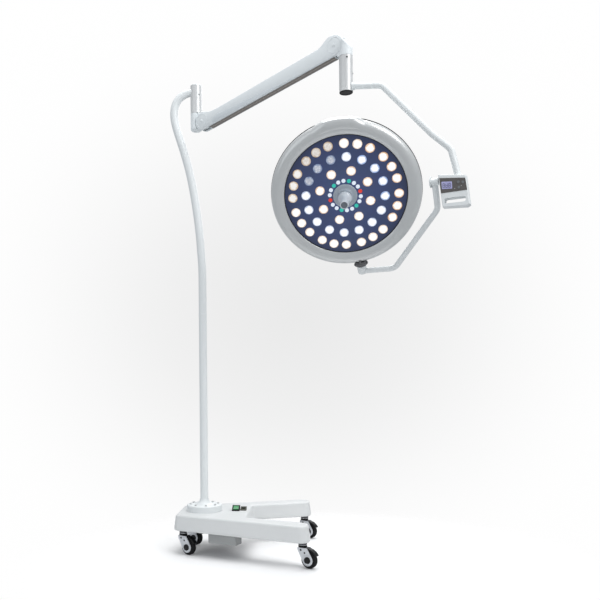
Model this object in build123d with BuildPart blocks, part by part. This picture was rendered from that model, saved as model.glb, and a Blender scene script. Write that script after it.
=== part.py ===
from build123d import *
import os
from math import sin, cos, tan, radians, sqrt

os.makedirs("parts", exist_ok=True)

# Mobile LED surgical light: castor base, bent pole, sprung arm, yoke with control box,
# inner gimbal arm and a round multi-lens lamp head.
# Millimetres.  +Z is up, +X right, -Y front (the lamp faces front and down).
# Origin: centre of the overall box in plan, floor level.
# Coordinates passed to point() and level() are measured from the pole axis.

# ---------------- driving dimensions ----------------
pole_x, pole_y = -411.28, 141.26    # pole axis in plan
clearance = 0.05                    # radial running clearance
base_bottom, base_top = 95.0, 157.0
pole_r, pole_wall = 16.0, 2.0
sleeve_r = 23.25                    # upright sleeves at both ends of the sprung arm
spin_r = 10.0                       # spindles turning in the sleeves
spin_flange_r, sleeve_bore_r = 14, 17
sleeve_plug_r = 16.9

# sprung arm
left_sleeve = (-19.4, 0.0)          # sleeve axes in plan
right_sleeve = (565.8, -430.4)
arm_azimuth, arm_elevation = -36.33, 9.29
arm_len = 650.9                     # pivot to pivot
pivot_reach, pivot_z = 47.8, 1732.5     # left pivot: distance from its sleeve axis, height

# lamp head
gimbal_z = 1326.8
tilt_offset = 12.7                  # panel face in front of the gimbal centre
head_dx, head_dy = -6.5, -4.0       # lamp centre from the gimbal centre in the panel plane
rim_r, panel_r = 255.0, 208.0


# ---------------- helpers ----------------
def point(x, y, z):
    """Point given from the foot of the pole axis."""
    return Vector(x + pole_x, y + pole_y, z)


def level(z, x=0, y=0):
    """Horizontal plane at height z, centred x, y from the pole axis."""
    return Plane(origin=point(x, y, z), x_dir=(1, 0, 0), z_dir=(0, 0, 1))


def local(plane, x, y, z=0):
    return plane.from_local_coords(Vector(x, y, z))


def largest(shape):
    return max(shape.solids(), key=lambda solid: solid.volume)


def save(name, shape):
    shape.label = name
    export_step(shape, f"parts/{name}.step")


# ---------------- frames ----------------
UP = Vector(0, 0, 1)

# sprung arm: x along the arm, y up, z to its near (front) side
arm_flat = Vector(cos(radians(arm_azimuth)), sin(radians(arm_azimuth)), 0)
near_dir = arm_flat.cross(UP)
left_pivot = point(left_sleeve[0] + arm_flat.X * pivot_reach,
                   left_sleeve[1] + arm_flat.Y * pivot_reach, pivot_z)
arm_dir = arm_flat * cos(radians(arm_elevation)) + UP * sin(radians(arm_elevation))
right_pivot = left_pivot + arm_dir * arm_len
arm_frame = Plane(origin=left_pivot, x_dir=arm_dir, z_dir=near_dir)
turret_frame = Plane(origin=left_pivot, x_dir=arm_flat, z_dir=near_dir)
knuckle_frame = Plane(origin=right_pivot, x_dir=arm_flat, z_dir=near_dir)

# gimbal: tilt axis to the right, pivot axis down and back, lamp axis out of the lenses
gimbal = point(*right_sleeve, gimbal_z)
tilt_dir = Vector(0.934, -0.357, 0).normalized()
pivot_dir = Vector(0.201, 0.526, -0.827)
pivot_dir = (pivot_dir - tilt_dir * tilt_dir.dot(pivot_dir)).normalized()
lamp_dir = Vector(-0.075, -0.833, -0.548)
lamp_dir = (lamp_dir - pivot_dir * pivot_dir.dot(lamp_dir)).normalized()
yoke_frame = Plane(origin=gimbal, x_dir=tilt_dir, z_dir=tilt_dir.cross(UP))    # y up, z front
inner_frame = Plane(origin=gimbal, x_dir=tilt_dir, z_dir=tilt_dir.cross(pivot_dir))

# lamp head: x right, y up the panel, z along the lamp axis; panel face at z = 0
head_x = (pivot_dir * -1).cross(lamp_dir)
lamp_centre = (gimbal + lamp_dir * tilt_offset + head_x * head_dx
               + lamp_dir.cross(head_x) * head_dy)
head_frame = Plane(origin=lamp_centre, x_dir=head_x, z_dir=lamp_dir)
# turning profile of the head: x radial, y along the lamp axis
head_profile = Plane(origin=lamp_centre, x_dir=head_x, z_dir=head_x.cross(lamp_dir))
lamp_axis = Axis(lamp_centre, lamp_dir)

# ---------------- base ----------------
splay = 21.5                        # half angle of the V-shaped base, degrees
half_width = 155.6                  # outer half width at the pole
leg_w = 92.1                        # leg width square to the leg
x_back, x_tip, x_notch = -105.0, 428.0, 188.0
roof_wall = 4.0
side_wall = roof_wall + 1.8
plate_top = base_bottom + 6
screw_xy = [(300, 224), (300, -224), (-92, 55), (-92, -55)]
castor_xy = {"fr": (402, -258), "rr": (402, 258), "fl": (-72, -89), "rl": (-72, 89)}
boss_h = 11                         # castor bosses under the plate
stem_r = 6                          # castor stems
switch_xy, socket_xy = (129.3, 3), (159, 12)
cutout_x, cutout_y = 24, 20         # deck openings for switch and socket
widening = tan(radians(splay))      # growth of the half width along x


def wedge_outline(inset):
    """V-shaped plan of the base, drawn in by inset on every side."""
    back, tip, notch = x_back + inset, x_tip - inset, x_notch - inset
    square = cos(radians(splay))

    def outer(x):
        return half_width + x * widening - inset / square

    def inner(x):
        return half_width + x * widening - leg_w / square + inset / square

    return [(back, -outer(back)), (tip, -outer(tip)), (tip, -inner(tip)), (notch, -inner(notch)),
            (notch, inner(notch)), (tip, inner(tip)), (tip, outer(tip)), (back, outer(back))]


with BuildPart() as base_cover:
    with BuildSketch(level(base_bottom)) as plan:
        with BuildLine():
            Polyline(wedge_outline(0), close=True)
        make_face()
        fillet(plan.vertices().group_by(Axis.X)[-1], 35)
        fillet(plan.vertices().group_by(Axis.X)[0], 24)
    extrude(amount=base_top - base_bottom, taper=1.5)
    fillet(base_cover.faces().sort_by(Axis.Z)[-1].edges(), 6)
    # hollow, open below
    with BuildSketch(level(base_bottom)) as plan:
        with BuildLine():
            Polyline(wedge_outline(side_wall), close=True)
        make_face()
        fillet(plan.vertices().group_by(Axis.X)[-1], 29)
        fillet(plan.vertices().group_by(Axis.X)[0], 18)
    extrude(amount=base_top - base_bottom - roof_wall, mode=Mode.SUBTRACT)
    # screw pillars standing on the chassis plate, run into the roof
    with BuildSketch(level(plate_top)):
        with Locations(*screw_xy):
            Circle(5)
    extrude(amount=base_top - 2 - plate_top)
    # pole hole and deck openings
    with BuildSketch(level(base_bottom)):
        Circle(pole_r + 0.1)
    extrude(amount=80, mode=Mode.SUBTRACT)
    with BuildSketch(level(base_top - 10)):
        with Locations(switch_xy, socket_xy):
            Rectangle(cutout_x, cutout_y)
    extrude(amount=20, mode=Mode.SUBTRACT)
save("base_cover", base_cover.part)

with BuildPart() as base_plate:
    with BuildSketch(level(base_bottom)) as plan:
        with BuildLine():
            Polyline(wedge_outline(8), close=True)
        make_face()
        fillet(plan.vertices().group_by(Axis.X)[-1], 27)
        fillet(plan.vertices().group_by(Axis.X)[0], 16)
    extrude(amount=plate_top - base_bottom)
    # castor bosses, then their stem holes
    for xy in castor_xy.values():
        with BuildSketch(level(base_bottom - boss_h)):
            with Locations(xy):
                Circle(16)
        extrude(amount=boss_h)
    for xy in castor_xy.values():
        with BuildSketch(level(base_bottom - boss_h - 1)):
            with Locations(xy):
                Circle(stem_r + clearance)
        extrude(amount=20, mode=Mode.SUBTRACT)
    with BuildSketch(level(base_bottom - 1)):
        with Locations(*screw_xy):
            Circle(2.2)
    extrude(amount=10, mode=Mode.SUBTRACT)
save("base_plate", base_plate.part)

# trapezium between the legs' outer edges, with a pocket in its top under the deck openings
weight_back, weight_front, weight_inset = -50, 170, 32
back_half = half_width + weight_back * widening - weight_inset
front_half = half_width + weight_front * widening - weight_inset
with BuildPart() as counterweight:
    with BuildSketch(level(plate_top)) as plan:
        with BuildLine():
            Polyline([(weight_back, -back_half), (weight_front, -front_half),
                      (weight_front, front_half), (weight_back, back_half)], close=True)
        make_face()
        fillet(plan.vertices(), 12)
    extrude(amount=38)
    with BuildSketch(level(base_bottom + 40)):
        with Locations((142, 7)):
            Rectangle(70, 44)
    extrude(amount=10, mode=Mode.SUBTRACT)
save("counterweight", counterweight.part)

# boxes lying along the front leg: one on the plate, one hanging under it
front_leg_dir = Vector(cos(radians(-splay)), sin(radians(-splay)), 0)
box_h = 36
with BuildPart() as battery_pack:
    with BuildSketch(Plane(origin=point(262, -209, plate_top), x_dir=front_leg_dir,
                           z_dir=(0, 0, 1))):
        RectangleRounded(58, 56, 4)
    extrude(amount=box_h)
save("battery_pack", battery_pack.part)

with BuildPart() as adapter_box:
    with BuildSketch(Plane(origin=point(102, -158, base_bottom - box_h), x_dir=front_leg_dir,
                           z_dir=(0, 0, 1))) as plan:
        Rectangle(122, 52)
        fillet(plan.vertices(), 6)
    extrude(amount=box_h)
    fillet(adapter_box.faces().sort_by(Axis.Z)[0].edges(), 4)
save("adapter_box", adapter_box.part)

# ---------------- switch and socket on the deck ----------------
# Each housing is a wedge with a low front edge, rising to the rear.
front_edge_h = 4
switch_w, switch_depth, switch_rise = 31, 34, 16
socket_w, socket_depth, socket_rise = 24, 26, 10
neck_x, neck_y, neck_h = cutout_x - 0.2, cutout_y - 0.2, 6
rocker_pin_r = 1.5
rocker_half = 10.2                  # half width of the rocker


def wedge_side(centre, width, depth):
    """Left side plane of a housing: x to the rear, y up, from its lower front corner."""
    x, y = centre
    return Plane(origin=point(x - width / 2, y - depth / 2, base_top),
                 x_dir=(0, 1, 0), z_dir=(1, 0, 0))


def wedge_face(centre, depth, rise):
    """Sloped top plane of a housing: x right, y up the slope."""
    slope = Vector(0, depth, rise).normalized()
    return Plane(origin=point(*centre, base_top + front_edge_h + rise / 2),
                 x_dir=(1, 0, 0), z_dir=Vector(1, 0, 0).cross(slope))


def wedge_profile(depth, rise):
    return [(0, 0), (0, front_edge_h), (depth, front_edge_h + rise), (depth, 0)]


switch_face = wedge_face(switch_xy, switch_depth, switch_rise)
socket_face = wedge_face(socket_xy, socket_depth, socket_rise)


def rocker_pin_plane(x):
    return Plane(origin=local(switch_face, x, 0, -3), x_dir=(0, 1, 0), z_dir=(1, 0, 0))


with BuildPart() as switch_bezel:
    with BuildSketch(wedge_side(switch_xy, switch_w, switch_depth)):
        with BuildLine():
            Polyline(wedge_profile(switch_depth, switch_rise), close=True)
        make_face()
    extrude(amount=switch_w)
    # neck dropping into the deck opening
    with BuildSketch(level(base_top - neck_h)):
        with Locations(switch_xy):
            Rectangle(neck_x, neck_y)
    extrude(amount=neck_h)
    with BuildSketch(switch_face.offset(-9)):
        Rectangle(21, 27)
    extrude(amount=20, mode=Mode.SUBTRACT)
    with BuildSketch(rocker_pin_plane(-12.5)):
        Circle(rocker_pin_r)
    extrude(amount=25)
save("switch_bezel", switch_bezel.part)

# rocker section: x up the slope, y out of the face
rocker_profile = [(-11.5, 2.5), (-11.5, -2.2), (0, -5.2), (11.5, -2.2), (11.5, 1.5), (0, 0.6)]
with BuildPart() as power_rocker:
    with BuildSketch(Plane(origin=local(switch_face, -rocker_half, 0),
                           x_dir=Vector(0, switch_depth, switch_rise), z_dir=(1, 0, 0))):
        with BuildLine():
            Polyline(rocker_profile, close=True)
        make_face()
    extrude(amount=2 * rocker_half)
    with BuildSketch(rocker_pin_plane(-15)):
        Circle(rocker_pin_r + clearance)
    extrude(amount=30, mode=Mode.SUBTRACT)
save("power_rocker", power_rocker.part)

with BuildPart() as charge_socket:
    with BuildSketch(wedge_side(socket_xy, socket_w, socket_depth)):
        with BuildLine():
            Polyline(wedge_profile(socket_depth, socket_rise), close=True)
        make_face()
    extrude(amount=socket_w)
    with BuildSketch(level(base_top - neck_h)):
        with Locations(socket_xy):
            Rectangle(neck_x, neck_y)
    extrude(amount=neck_h)
    with BuildSketch(socket_face.offset(-7)):
        RectangleRounded(16, 12, 3)
    extrude(amount=20, mode=Mode.SUBTRACT)
save("charge_socket", charge_socket.part)

# ---------------- castors ----------------
castor_turn = -31                   # swivel position of all four, degrees
trail = 28.0
wheel_r, wheel_w = 31.0, 22.0
axle_xy, axle_r = (trail, wheel_r), 4
fork_in, fork_out = 12.5, 15.5      # faces of the fork cheeks from the wheel plane
crown_bottom, crown_y = 74, 70      # underside of the round crown; centre of the bridge
axle_head_t = 2.5
hub_out, hub_t = 1.2, 3.2           # hub stands proud of the wheel; hub disc thickness
pedal_pin_xy, pedal_pin_r = (19.5, 69), 2
# pedal side outline: x along the trail, y up
pedal_outline = [(15.5, 66), (24, 66), (38, 64.5), (48, 58), (57, 47.6), (61, 48),
                 (61.5, 51), (53, 61), (41, 69), (28, 72.5), (19, 73)]


def castor_frame(x, y):
    """x along the trail, y up from the floor, z along the axle."""
    trail_dir = Vector(cos(radians(castor_turn)), sin(radians(castor_turn)), 0)
    return Plane(origin=point(x, y, 0), x_dir=trail_dir, z_dir=trail_dir.cross(UP))


def castor_fork(x, y):
    side = castor_frame(x, y)
    with BuildPart() as fork:
        for start in (-fork_out, fork_in):
            with BuildSketch(side.offset(start)):
                with Locations(axle_xy):
                    Circle(21)
                with Locations((6, crown_y)):
                    Rectangle(40, 8)
                make_hull()
            extrude(amount=fork_out - fork_in)
        # bridge, round crown and stem
        with BuildSketch(side.offset(-fork_in)):
            with Locations((-0.5, crown_y)):
                Rectangle(27, 8)
        extrude(amount=2 * fork_in)
        with BuildSketch(level(crown_bottom, x, y)):
            Circle(15.5)
        extrude(amount=base_bottom - boss_h - 0.2 - crown_bottom)
        with BuildSketch(level(80, x, y)):
            Circle(stem_r)
        extrude(amount=base_bottom + 5 - 80)
        # axle with flat heads
        with BuildSketch(side.offset(-17.5)):
            with Locations(axle_xy):
                Circle(axle_r)
        extrude(amount=35)
        for start in (-fork_out - axle_head_t, fork_out):
            with BuildSketch(side.offset(start)):
                with Locations(axle_xy):
                    Circle(10)
            extrude(amount=axle_head_t)
        with BuildSketch(side.offset(-15)):
            with Locations(pedal_pin_xy):
                Circle(pedal_pin_r)
        extrude(amount=30)
    return fork.part


def castor_wheel(x, y):
    side = castor_frame(x, y)
    with BuildPart() as wheel:
        with BuildSketch(side.offset(-wheel_w / 2)):
            with Locations(axle_xy):
                Circle(wheel_r)
        extrude(amount=wheel_w)
        fillet(wheel.edges().filter_by(GeomType.CIRCLE), 4)
        for start in (-wheel_w / 2 - hub_out, wheel_w / 2 + hub_out - hub_t):
            with BuildSketch(side.offset(start)):
                with Locations(axle_xy):
                    Circle(9)
            extrude(amount=hub_t)
        with BuildSketch(side.offset(-20)):
            with Locations(axle_xy):
                Circle(axle_r + clearance)
        extrude(amount=40, mode=Mode.SUBTRACT)
    return wheel.part


def brake_pedal(x, y):
    side = castor_frame(x, y)
    with BuildPart() as pedal:
        with BuildSketch(side.offset(-10)):
            with BuildLine():
                Polyline(pedal_outline, close=True)
            make_face()
        extrude(amount=20)
        with BuildSketch(side.offset(-12)):
            with Locations(pedal_pin_xy):
                Circle(4.4)
        extrude(amount=24)
        with BuildSketch(side.offset(-14)):
            with Locations(pedal_pin_xy):
                Circle(pedal_pin_r + clearance)
        extrude(amount=28, mode=Mode.SUBTRACT)
    return pedal.part


for tag, xy in castor_xy.items():
    save(f"castor_fork_{tag}", castor_fork(*xy))
    save(f"castor_wheel_{tag}", castor_wheel(*xy))
    save(f"brake_pedal_{tag}", brake_pedal(*xy))

# ---------------- pole ----------------
pole_foot_z, pole_joint_z, bend_z = base_bottom + 44, 958.0, 1110
flange_r, flange_top, flange_round = 71.5, 183, 5
collar_r, collar_top = 18, 206
flange_bore_r = pole_r + clearance
bolt_circle_r, bolt_count, bolt_start = 56, 8, 15
spigot_r = pole_r - pole_wall

with BuildPart() as pole_flange:
    with BuildSketch(Plane(origin=point(0, 0, 0), x_dir=(1, 0, 0), z_dir=(0, -1, 0))):
        with BuildLine():
            Polyline([(flange_bore_r, collar_top), (flange_bore_r, base_top),
                      (flange_r, base_top), (flange_r, flange_top - flange_round)])
            CenterArc((flange_r - flange_round, flange_top - flange_round), flange_round, 0, 90)
            Line((flange_r - flange_round, flange_top), (37, flange_top))
            RadiusArc((37, flange_top), (collar_r, collar_top), 28)
            Line((collar_r, collar_top), (flange_bore_r, collar_top))
        make_face()
    revolve(axis=Axis(point(0, 0, 0), (0, 0, 1)))
    with BuildSketch(level(150)):
        with PolarLocations(bolt_circle_r, bolt_count, start_angle=bolt_start):
            Circle(2.6)
    extrude(amount=40, mode=Mode.SUBTRACT)
save("pole_flange", pole_flange.part)

# heads, shanks, then hexagon sockets
with BuildPart() as flange_screws:
    with BuildSketch(level(flange_top)):
        with PolarLocations(bolt_circle_r, bolt_count, start_angle=bolt_start):
            Circle(5)
    extrude(amount=4.5)
    with BuildSketch(level(158)):
        with PolarLocations(bolt_circle_r, bolt_count, start_angle=bolt_start):
            Circle(2.5)
    extrude(amount=26)
    with BuildSketch(level(flange_top + 2.5)):
        with PolarLocations(bolt_circle_r, bolt_count, start_angle=bolt_start):
            RegularPolygon(2.4, 6)
    extrude(amount=4, mode=Mode.SUBTRACT)
save("flange_screws", flange_screws.part)

with BuildPart() as lower_pole:
    with BuildSketch(level(pole_foot_z)):
        Circle(pole_r)
        Circle(pole_r - pole_wall, mode=Mode.SUBTRACT)
    extrude(amount=pole_joint_z - pole_foot_z)
save("lower_pole", lower_pole.part)

with BuildPart() as pole_spigot:
    with BuildSketch(level(pole_joint_z - 45)):
        Circle(spigot_r)
        Circle(spigot_r - 2.5, mode=Mode.SUBTRACT)
    extrude(amount=90)
save("pole_spigot", pole_spigot.part)

# centre line of the bent pole: x, z
bow = [(0, bend_z), (-4, 1200), (-11, 1290), (-27, 1415), (-52, 1548), (-88, 1673),
       (-106, 1735), (-111.5, 1785), (-105, 1817), (-88, 1843), (-62, 1859), (-24, 1865)]
with BuildPart() as upper_pole:
    with BuildLine() as path:
        Line(point(0, 0, pole_joint_z), point(0, 0, bend_z))
        Spline([point(x, 0, z) for x, z in bow], tangents=[(0, 0, 1), (1, 0, 0.03)])
    with BuildSketch(level(pole_joint_z)):
        Circle(pole_r)
        Circle(pole_r - pole_wall, mode=Mode.SUBTRACT)
    sweep(path=path.line)
    # end trimmed to the sleeve
    with BuildSketch(level(1750, *left_sleeve)):
        Circle(sleeve_r)
    extrude(amount=200, mode=Mode.SUBTRACT)
save("upper_pole", upper_pole.part)

left_bottom, left_top = 1774.0, 1887.0      # ends of the left sleeve
with BuildPart() as bearing_sleeve:
    with BuildSketch(level(left_bottom, *left_sleeve)):
        Circle(sleeve_r)
    extrude(amount=left_top - left_bottom)
    chamfer(bearing_sleeve.edges().sort_by(Axis.Z)[0], 0.8)
    with BuildSketch(level(left_bottom - 1, *left_sleeve)):
        Circle(spin_r + clearance)
    extrude(amount=left_top - left_bottom + 5, mode=Mode.SUBTRACT)
    with BuildSketch(level(left_top - 12, *left_sleeve)):
        Circle(sleeve_bore_r)
    extrude(amount=20, mode=Mode.SUBTRACT)
save("bearing_sleeve", bearing_sleeve.part)

with BuildPart() as sleeve_cap:
    with BuildSketch(level(left_top, *left_sleeve)):
        Circle(sleeve_r)
    extrude(amount=4)
    fillet(sleeve_cap.edges().sort_by(Axis.Z)[-1], 2.5)
    with BuildSketch(level(left_top - 3, *left_sleeve)):
        Circle(sleeve_plug_r)
    extrude(amount=3)
save("sleeve_cap", sleeve_cap.part)

# ---------------- arm turret ----------------
arm_w = 38.0
disc_r = 36.0                       # round cheeks of the arm
cheek_in = 9.8                      # inner face of the arm cheeks from the arm mid plane
relief_in, relief_out = 9.3, 40     # slots cut beside the tongues for the cheeks
tongue_half, tongue_r = 9, 28
pin_r = 5.0
link_drop, stud_r = 17, 2.5         # level link below the pivots; its studs
stud_in, stud_len = 8.5, 5.5
joint_gap = 0.3                     # axial gap between sleeve and turret or knuckle
turret_bottom = 1704

with BuildPart() as arm_turret:
    with BuildSketch(level(turret_bottom, *left_sleeve)):
        Circle(sleeve_r)
    extrude(amount=left_bottom - joint_gap - turret_bottom)
    fillet(arm_turret.edges().sort_by(Axis.Z)[0], 9)
    for start in (-relief_out, relief_in):
        with BuildSketch(turret_frame.offset(start)):
            Circle(disc_r + 1.5)
            with Locations((10, 0)):
                Rectangle(84, 90)
        extrude(amount=relief_out - relief_in, mode=Mode.SUBTRACT)
    # tongue between the arm cheeks
    with BuildSketch(turret_frame.offset(-tongue_half)):
        with BuildLine():
            Polyline([(-60, -24), (-12, -24), (0, -27), (0, 27), (-14, 30), (-50, 30)],
                     close=True)
        make_face()
        Circle(tongue_r)
    extrude(amount=2 * tongue_half)
    with BuildSketch(turret_frame.offset(-20)):
        Circle(pin_r + clearance)
    extrude(amount=40, mode=Mode.SUBTRACT)
    with BuildSketch(turret_frame.offset(stud_in)):
        with Locations((0, -link_drop)):
            Circle(stud_r)
    extrude(amount=stud_len)
    # spindle up through the sleeve, with its flange
    with BuildSketch(level(left_bottom - 1, *left_sleeve)):
        Circle(spin_r)
    extrude(amount=104)
    with BuildSketch(level(left_top - 11.8, *left_sleeve)):
        Circle(spin_flange_r)
    extrude(amount=5)
save("arm_turret", arm_turret.part)

# ---------------- spring arm ----------------
shell_wall = 2.5
shell_y, shell_h = -10, 52          # centre and height of the straight part
spring_start, spring_plate_t = 70, 4
pivots = [(0, 0), (arm_len, 0)]


def arm_shell(side):
    """Half box with round cheeks at both pivots; side is +1 near, -1 far."""
    with BuildPart() as shell:
        with BuildSketch(arm_frame):
            with Locations((arm_len / 2, shell_y)):
                Rectangle(arm_len, shell_h)
            with Locations(*pivots):
                Circle(disc_r)
        extrude(amount=side * arm_w / 2)
        with BuildSketch(arm_frame):
            with Locations((arm_len / 2, shell_y)):
                Rectangle(arm_len, shell_h - 2 * shell_wall)
            with Locations(*pivots):
                Circle(disc_r - shell_wall)
        extrude(amount=side * (arm_w / 2 - shell_wall), mode=Mode.SUBTRACT)
        with BuildSketch(arm_frame):
            with Locations((-10, 0), (arm_len + 10, 0)):
                Rectangle(94, 90)
        extrude(amount=side * cheek_in, mode=Mode.SUBTRACT)
        # shallow bead pressed along the lower part of the side
        with BuildSketch(arm_frame.offset(side * (arm_w / 2 - 0.8))):
            with Locations((arm_len / 2, -17)):
                SlotOverall(arm_len - 130, 4)
        extrude(amount=side * 2, mode=Mode.SUBTRACT)
        with BuildSketch(arm_frame):
            with Locations(*pivots):
                Circle(pin_r)
        extrude(amount=side * 30, mode=Mode.SUBTRACT)
    return shell.part


save("arm_shell_near", arm_shell(1))
save("arm_shell_far", arm_shell(-1))

with BuildPart() as arm_bottom_cover:
    with BuildSketch(arm_frame.offset(-17.5)):
        with Locations((arm_len / 2 + 9.5, -37)):
            Rectangle(arm_len - 31, 2)
    extrude(amount=35)
save("arm_bottom_cover", arm_bottom_cover.part)


def across_arm(x, y, z):
    return Plane(origin=local(arm_frame, x, y, z), x_dir=near_dir, z_dir=arm_dir)


# spring as a plain rod with a plate at each end
with BuildPart() as lift_spring:
    with BuildSketch(across_arm(spring_start, -12, 0)):
        Circle(8.5)
    extrude(amount=arm_len - 2 * spring_start)
    for x in (spring_start, arm_len - spring_start - spring_plate_t):
        with BuildSketch(across_arm(x, -13.8, -3.75)):
            Rectangle(25.5, 39.4)
        extrude(amount=spring_plate_t)
save("lift_spring", lift_spring.part)

with BuildPart() as pivot_pins:
    with BuildSketch(arm_frame.offset(-arm_w / 2 - 0.6)):
        with Locations(*pivots):
            Circle(pin_r)
    extrude(amount=arm_w + 1.2)
save("pivot_pins", pivot_pins.part)

link_frame = Plane(origin=left_pivot - UP * link_drop, x_dir=arm_dir, z_dir=near_dir)
with BuildPart() as level_link:
    with BuildSketch(link_frame.offset(10.5)):
        with Locations((arm_len / 2, 0)):
            Rectangle(arm_len, 7)
        with Locations(*pivots):
            Circle(6)
        Circle(stud_r + clearance, mode=Mode.SUBTRACT)
        with Locations((arm_len, 0)):
            Circle(3.2, mode=Mode.SUBTRACT)
    extrude(amount=3)
save("level_link", level_link.part)

# ---------------- outer knuckle and yoke ----------------
right_top, right_bottom = 1793.0, 1671.0    # ends of the right sleeve
knuckle_x = 36.2                    # sleeve axis from the right pivot, along the arm
knuckle_right, knuckle_left = knuckle_x + sleeve_r, knuckle_x - sleeve_r
knuckle_bottom = right_top + joint_gap - right_pivot.Z
spindle_bottom = right_bottom + 4

with BuildPart() as outer_knuckle:
    with BuildSketch(knuckle_frame.offset(-sleeve_r)):
        with BuildLine():
            Spline([(-6, 33), (16, 28), (knuckle_x, 10), (52, -9), (knuckle_right, -32)],
                   tangents=[(1, -0.05), (0, -1)])
            Polyline([(knuckle_right, -32), (knuckle_right, knuckle_bottom),
                      (knuckle_left, knuckle_bottom), (knuckle_left, -26), (-6, -26), (-6, 33)])
        make_face()
    extrude(amount=2 * sleeve_r)
    # rounded far end and flat cheeks in plan
    with BuildSketch(Plane(origin=point(*right_sleeve, 1700), x_dir=arm_flat, z_dir=UP)):
        Circle(sleeve_r)
        with Locations((-30, 0)):
            Rectangle(60, arm_w)
    extrude(amount=200, mode=Mode.INTERSECT)
    for start in (-relief_out, relief_in):
        with BuildSketch(knuckle_frame.offset(start)):
            Circle(disc_r + 1.5)
        extrude(amount=relief_out - relief_in, mode=Mode.SUBTRACT)
    # tongue between the arm cheeks
    with BuildSketch(knuckle_frame.offset(-tongue_half)):
        with BuildLine():
            Polyline([(0, 27), (16, 26), (knuckle_x, 8), (knuckle_x, -40), (20, -34), (0, -27)],
                     close=True)
        make_face()
        Circle(tongue_r)
    extrude(amount=2 * tongue_half)
    with BuildSketch(knuckle_frame.offset(-30)):
        Circle(pin_r + clearance)
    extrude(amount=60, mode=Mode.SUBTRACT)
    with BuildSketch(knuckle_frame.offset(stud_in)):
        with Locations((0, -link_drop)):
            Circle(stud_r)
    extrude(amount=stud_len)
    # spindle down through the sleeve, with its flange
    with BuildSketch(level(spindle_bottom, *right_sleeve)):
        Circle(spin_r)
    extrude(amount=right_top + 5 - spindle_bottom)
    with BuildSketch(level(spindle_bottom, *right_sleeve)):
        Circle(spin_flange_r)
    extrude(amount=5)
save("outer_knuckle", outer_knuckle.part)

with BuildPart() as yoke_sleeve:
    with BuildSketch(level(right_bottom, *right_sleeve)):
        Circle(sleeve_r)
        Circle(spin_r + clearance, mode=Mode.SUBTRACT)
    extrude(amount=right_top - right_bottom)
    with BuildSketch(level(right_bottom - 1, *right_sleeve)):
        Circle(sleeve_bore_r)
    extrude(amount=11, mode=Mode.SUBTRACT)
save("yoke_sleeve", yoke_sleeve.part)

with BuildPart() as yoke_end_cap:
    with BuildSketch(level(right_bottom - 3.5, *right_sleeve)):
        Circle(sleeve_r - 0.5)
    extrude(amount=3.5)
    fillet(yoke_end_cap.edges().sort_by(Axis.Z)[0], 1.5)
    with BuildSketch(level(right_bottom, *right_sleeve)):
        Circle(sleeve_plug_r)
    extrude(amount=3)
save("yoke_end_cap", yoke_end_cap.part)


def box_outline(inset):
    """Control box outline in the yoke frame, drawn in by inset."""
    return [(308.5 + inset, 18 - inset), (394.6 - inset, 6.6 - inset), (406 - inset, -86),
            (397 - inset / 2, -92 + inset), (322 + inset, -88 + inset)]


yoke_tube_r, inner_tube_r, tube_wall, tube_bend_r = 10.2, 10.0, 2, 40
yoke_path = [(12, 362.4), (124, 345.2), (287, 156.5), (347, 99), (369.5, 4)]    # yoke frame
with BuildPart() as yoke_tube:
    with BuildLine(yoke_frame) as path:
        FilletPolyline(yoke_path, radius=tube_bend_r)
    with BuildSketch(Plane(origin=path.line @ 0, z_dir=path.line % 0)):
        Circle(yoke_tube_r)
        Circle(yoke_tube_r - tube_wall, mode=Mode.SUBTRACT)
    sweep(path=path.line)
    # ends trimmed to the sleeve and the control box
    with BuildSketch(level(1600, *right_sleeve)):
        Circle(sleeve_r)
    extrude(amount=200, mode=Mode.SUBTRACT)
    with BuildSketch(yoke_frame):
        with BuildLine():
            Polyline(box_outline(0), close=True)
        make_face()
    extrude(amount=30, both=True, mode=Mode.SUBTRACT)
save("yoke_tube", yoke_tube.part)

# ---------------- control box ----------------
box_half, box_wall = 17.0, 2.5
recess_depth = 1.5                  # display recess in the front face
tilt_spindle_r = 6
key_xy = {"key_down": (372, -14), "key_up": (386, -16), "key_power": (374, -31)}
key_hole_r, key_r = 4.3, 4.2


def display_outline(inset):
    return [(312.5 + inset, 6 - inset), (393 - inset, -3 - inset),
            (399 - inset, -42 + inset), (318 + inset, -44 + inset)]


def tilt_plane(x):
    """Plane square to the tilt axis, x from the gimbal centre."""
    return Plane(origin=local(yoke_frame, x, 0), x_dir=UP, z_dir=tilt_dir)


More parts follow.
